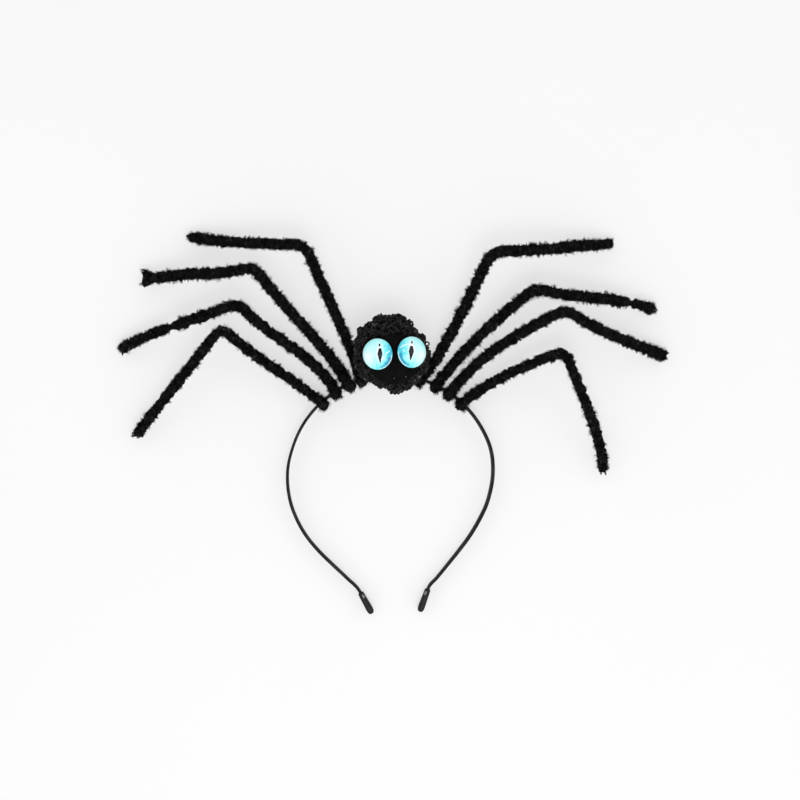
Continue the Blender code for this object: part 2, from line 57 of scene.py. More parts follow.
# Camera straight above, with the width of floor that it sees
CAMERA_HEIGHT = 1.2
VIEW_WIDTH = 0.472
CAMERA_X = 0.0036
CAMERA_Y = 0.0139
SENSOR_MM = 36.0

# Studio
FLOOR_SIZE = 8.0
FLOOR_WHITE = 0.28
# The floor glows with its own light, painted light that lifts the shadows on it
FLOOR_GLOW = 0.56
SKY_SIDES = 1.45
SKY_TOP = 0.50
SKY_FADE = (0.62, 0.88)
LAMP_PLACE = (0.08, -0.50, 1.25)
LAMP_SIZE = 0.80
LAMP_WATTS = 9.0

# The solids' driving sizes
GAP = 0.0003
BAND_RADIUS = 0.0608
ROUND_ANGLES = range(-75, 76, 15)
STRIP_THICKNESS = 0.0012
STRIP_DEPTH = 0.0050
PAINT = 0.00012
SLEEVE_LENGTH = 0.0138
SLEEVE_WIDTH = 0.0039
SLEEVE_DEPTH = 0.0070
SLEEVE_END_WALL = 0.0024
SLEEVE_LEAD = 0.0014
SLEEVE_LEAN = {"left": math.radians(-29), "right": math.radians(20)}
BALL_RADIUS = 0.0226
BALL_HALF_DEPTH = 0.0205
BALL_LIFT = 0.0015
BALL_RISE = 0.0127
BALL_SHIFT = 0.0005
CURL_RISE = 0.0026
FACE_CURVE = 0.0280
PAD_DIAMETER = 0.0300
PAD_THICKNESS = 0.0022
PAD_PRESS = 0.0006
PAD_ACROSS = 0.0010
PAD_DROP = 0.0050
EYE_DIAMETER = 0.0180
EYE_HEIGHT = 0.0055
EYE_GIRDLE = 0.0012
EYE_SINK = 0.0010
LEG_LENGTH = 0.152
LEG_WIDTH = 0.0066
LEG_LOBE = 0.09
KNEE_HEIGHT = 0.0200
KNEE_ROUND = 0.0080


def table(kind, *rows):
    """Rows of a table, with its columns named."""
    return tuple(kind(*row) for row in rows)


# Lower arms of the strip, as shares of BAND_RADIUS
ArmRow = namedtuple("ArmRow", "drop out")
ARMS = {
    "left": table(ArmRow, (-0.130, 0.996), (0.000, 1.004), (0.120, 0.995), (0.235, 0.972),
                  (0.410, 0.905), (0.560, 0.817), (0.700, 0.700), (0.835, 0.563),
                  (0.960, 0.430), (1.085, 0.308)),
    "right": table(ArmRow, (-0.130, 0.981), (0.000, 0.977), (0.120, 0.956), (0.235, 0.924),
                   (0.410, 0.842), (0.560, 0.752), (0.700, 0.648), (0.835, 0.540),
                   (0.960, 0.438), (1.050, 0.360)),
}
SIDE_SIGN = {"left": -1, "right": 1}

# How far the strip leans out at its upper edge, from its left end to its right end
LeanRow = namedtuple("LeanRow", "along degrees")
STRIP_LEAN = table(LeanRow, (0.00, 2.0), (0.10, 6.0), (0.22, 4.0), (0.30, 1.0), (0.40, 6.0),
                   (0.60, 6.5), (0.70, 9.0), (0.86, 10.0), (1.00, 3.0))
STRIP_CORNER = 0.28 * MM
STRIP_STEP = 1.2 * MM
PATH_STEP = 1.5 * MM

# Sleeve sections from mouth to end, as shares of its length, width and depth
SleeveRow = namedtuple("SleeveRow", "along width depth")
SLEEVE_ROWS = table(
    SleeveRow,
    (0.000, 0.78, 0.90), (0.012, 0.83, 0.925), (0.040, 0.85, 0.935), (0.110, 0.863, 0.942),
    (0.190, 0.881, 0.951), (0.300, 0.90, 0.96), (0.740, 1.00, 1.00), (0.840, 0.97, 0.98),
    (0.900, 0.90, 0.94), (0.950, 0.76, 0.86), (0.985, 0.52, 0.72), (1.000, 0.26, 0.50),
)

# Room inside a sleeve, from its mouth inward: inset in millimetres, share of its length
RoomRow = namedtuple("RoomRow", "inset along")
SLEEVE_ROOM = table(RoomRow, (0.10, 0.000), (0.45, 0.004), (0.52, 0.020), (0.52, 0.200))
SLEEVE_CORNER = 0.34
ROOM_CORNER = 0.30
SHINE_FROM = 0.08
SHINE_TO = 0.20
SHINE_ABOVE = 0.44 * SLEEVE_DEPTH

# Legs: the same rows as the solids' source
LegRow = namedtuple("LegRow", "name hip thigh thigh_turn thigh_bow thigh_sway "
                              "shin shin_turn shin_bow shin_sway knee tip")
LEGS = table(
    LegRow,
    ("leg_left_1", -16.9, 0.571, -23.1, -0.011, -0.004, 0.443, -87.5, 0.026, 0.003, 0.90, 1.05),
    ("leg_left_2", -24.4, 0.578, -38.5, -0.005, -0.012, 0.442, -94.4, 0.030, 0.019, 1.00, 1.42),
    ("leg_left_3", -32.9, 0.504, -46.4, -0.023, -0.030, 0.502, -111.2, -0.009, 0.011, 0.95, 1.10),
    ("leg_left_4", -42.4, 0.484, -52.1, 0.007, -0.011, 0.546, -141.4, 0.001, 0.004, 0.90, 1.12),
    ("leg_right_1", 16.4, 0.555, 28.3, -0.018, -0.004, 0.480, 84.7, -0.033, 0.009, 1.05, 1.00),
    ("leg_right_2", 25.9, 0.533, 44.6, 0.037, 0.008, 0.476, 100.3, 0.004, -0.019, 0.92, 1.15),
    ("leg_right_3", 34.3, 0.550, 53.1, 0.062, 0.012, 0.437, 114.7, -0.037, -0.009, 1.00, 0.96),
    ("leg_right_4", 43.2, 0.446, 62.2, 0.047, 0.008, 0.499, 161.7, 0.027, -0.012, 0.95, 1.05),
)
BOW_PEAK = 4.0
SWAY_PEAK = 6 * math.sqrt(3)

# Look of each leg: how full its pile is, how far its two strands lie from its middle,
# where their twist starts in degrees, how far they part at the tip, how much the first
# is longer, and how uneven the pile is. Its lengths are in millimetres.
LegLook = namedtuple("LegLook", "full strand_reach twist_start splay longer uneven")
LEG_LOOKS = {
    "leg_left_1": LegLook(1.06, 0.40, 10, 0.4, 0.0, 0.13),
    "leg_left_2": LegLook(1.07, 0.40, 130, 4.0, -1.6, 0.18),
    "leg_left_3": LegLook(1.01, 0.60, 60, 0.8, 0.0, 0.16),
    "leg_left_4": LegLook(0.90, 0.90, 200, 0.8, 1.6, 0.22),
    "leg_right_1": LegLook(1.07, 0.40, 85, 0.3, 0.6, 0.21),
    "leg_right_2": LegLook(1.06, 0.45, 300, 0.4, 0.0, 0.19),
    "leg_right_3": LegLook(1.16, 0.35, 150, 0.5, 0.3, 0.09),
    "leg_right_4": LegLook(0.88, 0.85, 20, 0.4, 0.8, 0.27),
}
SAG_START = 15.0 * MM

# Shapes of the shins: scale of the pile and shift to the side of the leg's line, at
# distances back from the tip. All distances and shifts are in millimetres.
ShinRow = namedtuple("ShinRow", "back scale shift")
SHINS = {
    "leg_left_1": table(ShinRow, (0, 0.98, 1.0), (7, 1.04, 1.1), (13, 1.04, 0.5), (18, 0.98, 0.35),
                        (24, 1.0, 0.35), (50, 1.0, 0.0), (60, 1.0, -0.7), (66, 1.0, -0.3),
                        (74, 1.0, 0.7), (100, 1.0, 0.35)),
    "leg_left_2": table(ShinRow, (0, 0.88, -1.0), (3, 0.95, -1.4), (7, 0.84, -2.0),
                        (10, 0.94, -2.1), (15, 1.0, -1.7), (24, 1.0, -0.6), (34, 1.0, 0.25)),
    "leg_left_3": table(ShinRow, (0, 1.08, -0.5), (5, 1.06, -0.5), (12, 0.93, -0.5),
                        (20, 0.90, -0.5), (27, 0.95, -0.5), (32, 0.90, -0.5), (34, 0.50, -0.5),
                        (36, 0.50, -0.5), (38.5, 0.98, -0.5), (46, 1.06, -0.5), (60, 1.0, -0.5)),
    "leg_left_4": table(ShinRow, (0, 0.98, -0.8), (4, 1.08, -0.8), (12, 1.0, -0.8)),
    "leg_right_1": table(ShinRow, (0, 0.88, 0.4), (7, 0.84, 0.2), (11, 0.95, -0.4),
                         (17, 1.05, -1.3), (26, 1.05, -1.5), (40, 1.0, -0.7), (60, 1.0, 0.3),
                         (75, 1.0, 0.7), (90, 1.0, 1.2)),
    "leg_right_2": table(ShinRow, (0, 0.90, 0.6), (5, 1.02, 0.4), (10, 0.86, 0.5),
                         (13.2, 0.84, 0.6), (14.6, 0.38, 0.6), (16.4, 0.38, 0.6),
                         (18.4, 0.96, 0.6), (24, 1.0, 0.6)),
    "leg_right_3": table(ShinRow, (0, 1.02, 0.9), (9, 1.05, 0.9), (12, 0.96, 0.9)),
    "leg_right_4": table(ShinRow, (0, 1.0, 0.6), (6, 1.04, 0.6), (12, 1.0, 0.6)),
}

# Chenille: two strands of one stem, hooked round the strip and twisted together
STRAND_PITCH = 13.4 * MM
STRAND_STEP = 0.5 * MM
TWIST_WANDER = 0.5
WANDER_LENGTH = 11 * MM
HOOK_SPREAD = 3.4 * MM
HOOK_DROP = 1.3 * MM
HOOK_HOLD = 2.5 * MM
HOOK_LET_GO = 9.0 * MM
HOOK_PILE = 1.24
HOOK_ANGLES = range(80, -81, -8)
ROOT_SWELL = 0.20
ROOT_LENGTH = 5.0 * MM
SPLAY_LENGTH = 7.0 * MM
PARTED = 0.05

# Pile of the chenille: its fibres, the clumps that they form and its dense middle
PILE_REACH = 3.50 * MM
PILE_FOOT = 1.6 * MM
PILE_WIDTH = 0.30 * MM
PILE_SHORTEST = 0.3 * MM
PILE_UNEVEN = 0.045
PILE_INWARD = 0.80
# A few fibres, and below a few clumps, are made pale: lint, and painted glints
PILE_PALE = 0.003
CLUMP_STEP = 1.25 * MM
CLUMPS_AROUND = 6
CLUMP_FIBRES = 12
CLUMP_SPREAD = 0.62 * MM
CLUMP_TURN = 0.34
CLUMP_GATHER = 0.52
CLUMP_PALE = 0.07
CLUMP_REACH = (0.72, 1.36)
CLUMP_LEAN = 0.16
END_LENGTH = 2.2 * MM
END_LEAN = 0.40
END_TRIM = 0.22
FLOOR_ROOM = 0.2 * MM
MASS_RADIUS = 2.35 * MM
MASS_RIDGE = 0.16 * MM
MASS_KNOBS = 1.4
MASS_KNOB_RANGE = (-0.30, 0.38)
MASS_PITCH = 3.8 * MM
MASS_SIDES = 10
MASS_BLUNT = 0.30
MASS_TAPER = 1.6 * MM

# Columns of a stem's rows: place, side, direction to the other strand, pile scale
PLACE, SIDE, INNER, SCALE = slice(0, 3), slice(3, 6), slice(6, 9), 9

# Loop yarn. Its drift and its hairs' lengths are ranges in millimetres.
LOOP_COUNT = 1500
LOOP_RADIUS = (1.05 * MM, 1.75 * MM)
YARN_RADIUS = 0.50 * MM
YARN_SIDES = 5
LOOP_POINTS = 10
LOOP_TURN = math.radians(150)
LOOP_SINK = 1.1 * MM
LOOP_SCATTER = 0.022
LOOP_TILT = 0.26
LOOP_SEAT = 0.92
LOOP_TOP = 1.7
LOOP_DRIFT = (-0.9, 0.9)
LOOP_SQUEEZE = (0.75, 1.1)
LEG_ROOM = 3.0 * MM
NEAR_BALL = 60 * MM
CORE_SINK = 0.2 * MM
CORE_LOCKS = 0.6
LOCK_COUNT = 58
LOCK_RISE = 1.7 * MM
LOCK_SPREAD = 3.0 * MM
YARN_HAIRS = 7000
HAIR_WIDTH = 0.045 * MM
HAIR_LENGTH = (0.6, 1.3)
HAIR_OUTWARD = 0.6
OUTLINE_FADE = (0.45, 0.92)

# Outline of the yarn round the ball: share of its radius at degrees clockwise from the crown
OutlineRow = namedtuple("OutlineRow", "degrees share")
BALL_OUTLINE = table(
    OutlineRow,
    (-180, 1.00), (-166, 0.93), (-152, 0.94), (-135, 0.99), (-90, 1.00), (-66, 1.03),
    (-52, 1.04), (-40, 1.02), (-29, 0.99), (-20, 1.05), (-12, 1.04), (-4, 0.95), (5, 1.03),
    (19, 0.99), (30, 0.94), (37, 0.88), (47, 0.88), (55, 0.83), (64, 0.90), (72, 0.87),
    (84, 0.94), (100, 0.97), (146, 0.99), (154, 1.02), (160, 1.00), (166, 1.03), (176, 1.03),
    (180, 1.00),
)

# Curls that stand out at the ball's edge: degrees clockwise from the crown, distance
# of the curl's middle from the ball's and its radius, both in millimetres
StrayRow = namedtuple("StrayRow", "degrees away radius")
STRAY_CURLS = table(
    StrayRow,
    (75.5, 21.0, 1.10), (63.0, 20.5, 0.72), (59.5, 20.3, 0.62), (66.5, 20.2, 0.65),
    (62.0, 19.4, 0.60), (88.0, 21.5, 0.60), (92.0, 21.7, 0.55), (97.0, 21.8, 0.60),
    (-52.0, 23.3, 0.60), (-55.0, 23.6, 0.65), (-54.0, 22.4, 0.70), (-58.0, 22.8, 0.60),
    (166.0, 22.8, 0.60), (171.0, 23.3, 0.60), (176.0, 23.2, 0.60), (181.0, 22.9, 0.60),
    (158.0, 22.6, 0.60), (153.0, 22.6, 0.55),
)
STRAY_POINTS = 14
STRAY_TURN = 0.93
STRAY_RISE = 0.5 * MM
OPEN_CURL = 0.8 * MM

# Felt pad and its nap, whose lengths are a range in millimetres
PAD_RINGS = 30
NAP_FIBRES = 5200
NAP_WIDTH = 0.035 * MM
NAP_LENGTH = (0.25, 0.60)
NAP_DEPTH = 0.9 * MM
NAP_OUTWARD = 0.55
FELT_WAVE = 0.07 * MM
FELT_WAVES = 420.0

# Eyes: girdle centre from the face's middle as shares of EYE_DIAMETER. The print's
# places and sizes are shares of the eye's radius, and inward is +1 towards +X.
EyeRow = namedtuple("EyeRow", "name across up inward lean pupil_x pupil_y pupil_w pupil_h "
                              "spot_x spot_y")
EYES = table(
    EyeRow,
    ("eye_left", -0.440, -0.060, 1, -0.6, 0.27, -0.075, 0.160, 0.47, 0.22, 0.575),
    ("eye_right", 0.610, 0.000, -1, -4.0, -0.20, -0.065, 0.175, 0.46, -0.165, 0.605),
)
EYE_EDGE = 0.25 * MM

# Colours of the print, from its palest places, which also carry a painted reflection of the side
# light, to its deepest
IRIS_COLOURS = (
    (0.00, (0.78, 0.75, 0.77)), (0.17, (0.55, 0.73, 0.74)), (0.36, (0.38, 0.71, 0.72)),
    (0.58, (0.20, 0.68, 0.70)), (0.80, (0.08, 0.56, 0.62)), (0.95, (0.03, 0.38, 0.49)),
    (1.00, (0.01, 0.22, 0.33)),
)
# Painted light on the eyes: shade and a highlight at the rim, glints, and a shadow round the edge. The
# pupil's black is print.
RIM_SHADE_BLUE = (0.008, 0.18, 0.34)
RIM_SHADE_PATCH_BLUE = (0.020, 0.36, 0.60)
RIM_HIGHLIGHT_WHITE = (0.85, 0.90, 0.92)
GLINT_STREAK_WHITE = (0.78, 0.85, 0.86)
PUPIL_BLACK = (0.001, 0.002, 0.003)
PUPIL_GLINT = (0.022, 0.032, 0.045)
RIM_SHADOW_BLACK = (0.003, 0.007, 0.010)

# Pale streaks painted on the eyes as glints, in shares of the eye's radius, and their slant
Streak = namedtuple("Streak", "x y length width degrees")
STREAKS = {
    "eye_left": table(Streak, (0.66, 0.04, 0.20, 0.045, 46), (0.80, 0.16, 0.12, 0.040, 55),
                      (0.50, -0.24, 0.16, 0.040, 36)),
    "eye_right": table(Streak, (-0.74, 0.33, 0.24, 0.050, 34), (-0.44, 0.46, 0.26, 0.045, 12),
                       (-0.68, 0.04, 0.12, 0.040, -48)),
}

# Bits of lint on the face, in millimetres from its middle, and their fibres' lengths
LINT = ((8.0, -13.8), (13.6, -16.4), (16.0, -14.2), (1.3, -14.8), (-16.0, -15.6))
LINT_FIBRES = 5
LINT_WIDTH = 0.13 * MM
LINT_LENGTH = (0.5, 1.1)
LINT_SPREAD = 0.15 * MM
LINT_SINK = 0.6 * MM

Shape = namedtuple("Shape", "verts tris tone")

BAND_LOW, BAND_HIGH = (Vector(corner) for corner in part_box("headband"))
BAND_MIDDLE = Vector(((BAND_LOW.x + BAND_HIGH.x) / 2,
                      BAND_HIGH.y - BAND_RADIUS - STRIP_THICKNESS / 2, 0))


def band_height(y):
    """Height of the strip's middle, which rises from the sleeves to the crown."""
    low, high = BAND_LOW.z + STRIP_DEPTH / 2, BAND_HIGH.z - STRIP_DEPTH / 2
    return low + (high - low) * (y - BAND_LOW.y) / (BAND_HIGH.y - BAND_LOW.y)


def heading(angle):
    """Direction in the band's plane, clockwise from the crown."""
    return Vector((math.sin(angle), math.cos(angle), 0))


def unit(vectors):
    return vectors / np.linalg.norm(vectors, axis=-1, keepdims=True)


def smoothstep(values, low, high):
    t = np.clip((values - low) / (high - low), 0, 1)
    return t * t * (3 - 2 * t)


def read_table(rows, at, column):
    """A column of a table between its rows. Its first column says where they are."""
    return np.interp(at, [row[0] for row in rows], [getattr(row, column) for row in rows])


def resample(points, step):
    """Rows of points again at even distances along the first three columns."""
    gaps = np.linalg.norm(np.diff(points[:, :3], axis=0), axis=1)
    travel = np.concatenate(([0.0], np.cumsum(gaps)))
    marks = np.linspace(0, travel[-1], int(round(travel[-1] / step)) + 1)
    columns = [np.interp(marks, travel, column) for column in points.T]
    return np.stack(columns, axis=1), marks


def smooth_path(knots, step):
    """Hermite curve through the knots, with a point about every step."""
    spans = [(b - a).length for a, b in zip(knots, knots[1:])]
    slopes = [(knots[1] - knots[0]) / spans[0]]
    for i in range(1, len(knots) - 1):
        before = (knots[i] - knots[i - 1]) / spans[i - 1]
        after = (knots[i + 1] - knots[i]) / spans[i]
        slopes.append((before * spans[i] + after * spans[i - 1]) / (spans[i - 1] + spans[i]))
    slopes.append((knots[-1] - knots[-2]) / spans[-1])
    points = [knots[0]]
    for i, span in enumerate(spans):
        steps = max(1, round(span / step))
        for k in range(1, steps + 1):
            t = k / steps
            points.append(knots[i] * (2 * t ** 3 - 3 * t ** 2 + 1)
                          + slopes[i] * span * (t ** 3 - 2 * t ** 2 + t)
                          + knots[i + 1] * (3 * t ** 2 - 2 * t ** 3)
                          + slopes[i + 1] * span * (t ** 3 - t ** 2))
    return points


def grid_tris(rows, sides):
    """Triangles of one closed tube of rows times sides points, with flat ends."""
    i, k = np.meshgrid(np.arange(rows - 1), np.arange(sides), indexing="ij")
    near, far = i * sides, (i + 1) * sides
    turn = (k + 1) % sides
    walls = [np.stack([near + k, near + turn, far + turn], axis=-1).reshape(-1, 3),
             np.stack([near + k, far + turn, far + k], axis=-1).reshape(-1, 3)]
    fan = np.arange(1, sides - 1)
    zero = np.zeros_like(fan)
    last = (rows - 1) * sides
    ends = [np.stack([zero, fan + 1, fan], axis=-1),
            np.stack([zero + last, last + fan, last + fan + 1], axis=-1)]
    return np.concatenate(walls + ends)


def tubes(paths, reference, radius, sides, tone):
    """Closed tubes along many paths at once. Arrays are tubes by points by sides."""
    along = unit(np.gradient(paths, axis=1))
    across = unit(reference - along * np.sum(reference * along, axis=-1, keepdims=True))
    lift = np.cross(along, across)
    angle = 2 * np.pi * np.arange(sides) / sides
    ring = (across[:, :, None, :] * np.cos(angle)[None, None, :, None]
            + lift[:, :, None, :] * np.sin(angle)[None, None, :, None])
    verts = paths[:, :, None, :] + ring * radius[..., None]
    count, rows = paths.shape[:2]
    one = grid_tris(rows, sides)
    tris = (one[None] + (np.arange(count) * rows * sides)[:, None, None]).reshape(-1, 3)
    tones = np.broadcast_to(tone, verts.shape[:3]).reshape(-1)
    return Shape(verts.reshape(-1, 3), tris, tones)


def fibres(base, direction, length, width, tone):
    """Fibres as slim closed bodies of four faces, an edge wide at both ends."""
    direction = unit(direction)
    helper = np.where(np.abs(direction[:, 2:]) < 0.9, (0.0, 0.0, 1.0), (1.0, 0.0, 0.0))
    side = unit(np.cross(direction, helper))
    other = np.cross(direction, side)
    tip = base + direction * length[:, None]
    half = width / 2
    verts = np.stack([base - side * half, base + side * half,
                      tip - other * half * 0.7, tip + other * half * 0.7], axis=1)
    one = np.array([(0, 1, 2), (1, 0, 3), (2, 3, 0), (3, 2, 1)])
    tris = (one[None] + (np.arange(len(base)) * 4)[:, None, None]).reshape(-1, 3)
    return Shape(verts.reshape(-1, 3), tris, np.repeat(tone, 4))


def turned(profile, steps, tone=0.5):
    """Closed body turned about Z. The profile runs from the axis above to the axis below."""
    angle = 2 * np.pi * np.arange(steps) / steps
    middle = np.array(profile[1:-1])
    rings = np.stack([middle[:, None, 0] * np.cos(angle), middle[:, None, 0] * np.sin(angle),
                      np.repeat(middle[:, 1:2], steps, axis=1)], axis=-1).reshape(-1, 3)
    verts = np.concatenate([rings, [(0, 0, profile[0][1])], [(0, 0, profile[-1][1])]])
    walls = grid_tris(len(middle), steps)[:2 * (len(middle) - 1) * steps][:, ::-1]
    k = np.arange(steps)
    turn = (k + 1) % steps
    low = (len(middle) - 1) * steps
    top = np.stack([np.full(steps, len(rings)), k, turn], axis=-1)
    bottom = np.stack([np.full(steps, len(rings) + 1), low + turn, low + k], axis=-1)
    return Shape(verts, np.concatenate([walls, top, bottom]), np.full(len(verts), tone))


def join(shapes):
    """Several shapes as one."""
    start = np.cumsum([0] + [len(s.verts) for s in shapes[:-1]])
    return Shape(np.concatenate([s.verts for s in shapes]),
                 np.concatenate([s.tris + first for s, first in zip(shapes, start)]),
                 np.concatenate([s.tone for s in shapes]))


def link_object(name, data):
    """A new object in the scene."""
    made = bpy.data.objects.new(name, data)
    bpy.context.scene.collection.objects.link(made)
    return made


def add_piece(name, shape, mat, node, place=None, smooth=True):
    """A mesh piece that stands for a node of the frame and rides on its body."""
    mesh = bpy.data.meshes.new(name)
    mesh.vertices.add(len(shape.verts))
    mesh.vertices.foreach_set("co", shape.verts.astype(np.float32).ravel())
    mesh.loops.add(shape.tris.size)
    mesh.loops.foreach_set("vertex_index", shape.tris.astype(np.int32).ravel())
    mesh.polygons.add(len(shape.tris))
    mesh.polygons.foreach_set("loop_start", np.arange(0, shape.tris.size, 3, dtype=np.int32))
    mesh.update(calc_edges=True)
    tone = mesh.attributes.new("tone", "FLOAT", "POINT")
    tone.data.foreach_set("value", shape.tone.astype(np.float32))
    if smooth:
        mesh.shade_smooth()
        mesh.set_sharp_from_angle(angle=math.radians(50))
    mesh.materials.append(mat)
    piece = link_object(name, mesh)
    if place:
        piece.matrix_world = place
    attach(piece, BODY)
    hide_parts(node)
    return piece


class Value:
    """A value in a material's graph, with plain arithmetic."""

    def __init__(self, graph, socket):
        self.graph = graph
        self.socket = socket

    def __add__(self, other):
        return self.graph.math("ADD", self, other)

    def __sub__(self, other):
        return self.graph.math("SUBTRACT", self, other)

    def __mul__(self, other):
        return self.graph.math("MULTIPLY", self, other)

    def __truediv__(self, other):
        return self.graph.math("DIVIDE", self, other)


class Graph:
    """Short ways to wire a material's nodes."""

    def __init__(self, name):
        self.mat = bpy.data.materials.new(name)
        self.mat.use_nodes = True
        self.tree = self.mat.node_tree
        self.shader = self.tree.nodes["Principled BSDF"]

    def feed(self, socket, value):
        if isinstance(value, Value):
            self.tree.links.new(value.socket, socket)
        else:
            socket.default_value = value

    def node(self, kind, output, inputs, **settings):
        """Output of a new node, with its settings made and its inputs fed."""
        made = self.tree.nodes.new("ShaderNode" + kind)
        for name, value in settings.items():
            setattr(made, name, value)
        for name, value in inputs.items():
            self.feed(made.inputs[name], value)
        return Value(self, made.outputs[output])

    def math(self, operation, a, b=0.0, clamp=False):
        return self.node("Math", 0, {0: a, 1: b}, operation=operation, use_clamp=clamp)

    def span(self, value, low, high):
        """0 at low, 1 at high, smooth between."""
        return self.node("MapRange", "Result", {"Value": value, "From Min": low, "From Max": high},
                         interpolation_type="SMOOTHSTEP")

    def mix(self, factor, a, b):
        a, b = (colour if isinstance(colour, Value) else (*colour, 1.0) for colour in (a, b))
        return self.node("Mix", "Result", {"Factor": factor, "A": a, "B": b}, data_type="RGBA")

    def ramp(self, value, stops):
        result = self.node("ValToRGB", "Color", {"Fac": value})
        elements = result.socket.node.color_ramp.elements
        while len(elements) < len(stops):
            elements.new(0.5)
        for element, (place, colour) in zip(elements, stops):
            element.position = place
            element.color = (*colour, 1.0)
        return result

    def greys(self, value, *stops):
        """Ramp of greys: place, grey and, where it is tinted, the share of its blue."""
        return self.ramp(value, [(place, grey(*tone)) for place, *tone in stops])

    def place(self):
        return self.node("TexCoord", "Object", {})

    def noise(self, scale, detail=3.0, roughness=0.55, vector=None):
        return self.node("TexNoise", "Fac", {"Vector": vector or self.place(), "Scale": scale,
                                             "Detail": detail, "Roughness": roughness})

    def tone(self):
        return self.node("Attribute", "Fac", {}, attribute_name="tone")

    def part(self, vector, axis):
        return self.node("SeparateXYZ", axis, {0: vector})

    def vector(self, x, y, z):
        return self.node("CombineXYZ", 0, {"X": x, "Y": y, "Z": z})

    def bump(self, height, distance, strength):
        inputs = {"Height": height, "Distance": distance, "Strength": strength}
        self.feed(self.shader.inputs["Normal"], self.node("Bump", 0, inputs))

    def finish(self, **sockets):
        for name, value in sockets.items():
            self.feed(self.shader.inputs[name.replace("_", " ")], value)
        return self.mat


def grey(value, blue=1.0):
    return (value, value, value * blue)


def chenille_material():
    """Black pile: painted shade on its dense middle between the fibres, with a painted highlight on
    its knobs, greyer on some fibres at random, with a few pale fibres that stand for lint and painted
    glints.
    """
    g = Graph("black_chenille")
    lit = g.math("MULTIPLY", g.tone(), g.span(g.noise(520.0, 2.0), 0.20, 0.65), clamp=True)
    fibre = g.greys(lit, (0.0, 0.0015), (0.35, 0.0060), (0.70, 0.0240, 1.02), (1.0, 0.110, 1.02))
    # The palest fibres: lint, and painted glints
    colour = g.mix(g.span(g.tone(), 0.985, 1.0), fibre, grey(0.13))
    g.bump(g.noise(2600.0, 2.0), 0.12 * MM, 0.8)
    return g.finish(Base_Color=colour, Roughness=0.75, Specular_IOR_Level=0.05)


def yarn_material():
    """Soft black yarn, with a painted highlight that makes the tops of its loops and its raised locks
    greyer.
    """
    g = Graph("black_yarn")
    strands = g.noise(1800.0)
    lit = g.tone() * (strands * 0.9 + g.noise(160.0, 2.0))
    colour = g.greys(lit, (0.0, 0.002), (0.42, 0.006, 0.98), (0.80, 0.020), (1.0, 0.055))
    g.bump(strands, 0.15 * MM, 0.9)
    return g.finish(Base_Color=colour, Roughness=0.80, Specular_IOR_Level=0.07,
                    Sheen_Weight=0.02, Sheen_Roughness=0.45)


def felt_material():
    """Pressed black felt with a fine tangle of fibres."""
    g = Graph("black_felt")
    tangle = g.noise(2400.0, 4.0, 0.65)
    lit = tangle * (g.noise(260.0, 2.0) + g.tone())
    colour = g.greys(lit, (0.15, 0.0014), (0.50, 0.0030, 0.97), (0.90, 0.009))
    g.bump(tangle, 0.10 * MM, 0.7)
    return g.finish(Base_Color=colour, Roughness=0.90, Specular_IOR_Level=0.035)


def metal_material():
    """Satin black paint on a steel strip, with a painted highlight, patchy, greyer along the edge that
    faces up.
    """
    g = Graph("black_metal")
    film = g.noise(900.0)
    # Painted highlight along the upper edge, patchy
    top_edge_highlight = g.tone() * (g.noise(95.0, 4.0) * 1.1 + 0.30)
    colour = g.greys(top_edge_highlight, (0.0, 0.0015), (0.40, 0.003, 1.02), (0.85, 0.012, 1.02),
                     (1.0, 0.030, 1.02))
    g.bump(film, 0.02 * MM, 0.6)
    return g.finish(Base_Color=colour, Roughness=film * 0.16 + 0.42, Specular_IOR_Level=0.06)


def rubber_material():
    """Satin black rubber with a very fine grain and a pale shine near the mouth."""
    g = Graph("black_rubber")
    wear = g.noise(240.0)
    dull = g.greys(wear, (0.30, 0.007), (0.60, 0.012), (0.85, 0.024))
    colour = g.mix(g.span(g.tone(), 0.60, 1.0), dull, grey(0.16))
    g.bump(g.noise(3200.0), 0.02 * MM, 0.5)
    return g.finish(Base_Color=colour, Roughness=wear * 0.16 + 0.34, Specular_IOR_Level=0.10)


def lint_material():
    g = Graph("pale_lint")
    colour = g.greys(g.noise(3000.0, 2.0), (0.3, 0.20), (0.7, 0.42))
    return g.finish(Base_Color=colour, Roughness=0.9)


def spot(g, x, y, middle, size, edge=1.0, full=0.0):
    """1 in the middle of an oval, 0 outside it."""
    dx = (x - middle[0]) / size[0]
    dy = (y - middle[1]) / size[1]
    return g.span(dx * dx + dy * dy, edge, full)


def pupil_mask(g, x, y, row):
    """1 inside the slit: blunt above, widest above its middle, fine below."""
    up = (y - (row.pupil_y - row.pupil_h)) / (2 * row.pupil_h)
    width = g.greys(up, (0.0, 0.16), (0.25, 0.48), (0.60, 1.0), (0.97, 0.50), (1.0, 0.0))
    off = g.math("ABSOLUTE", (x - row.pupil_x) / row.pupil_w)
    slit = g.span(width - off, -0.10, 0.10) * g.span(up, -0.015, 0.015) * g.span(up, 1.015, 0.985)
    dot = spot(g, x, y, (row.spot_x, row.spot_y), (0.060, 0.095), 1.25, 0.65)
    return g.math("MAXIMUM", slit, dot)


def streak_mask(g, x, y, streak):
    """1 along the middle of a short slanting streak, a painted glint."""
    c, s = math.cos(math.radians(streak.degrees)), math.sin(math.radians(streak.degrees))
    dx, dy = x - streak.x, y - streak.y
    return spot(g, dx * c + dy * s, dy * c - dx * s, (0.0, 0.0), (streak.length, streak.width))


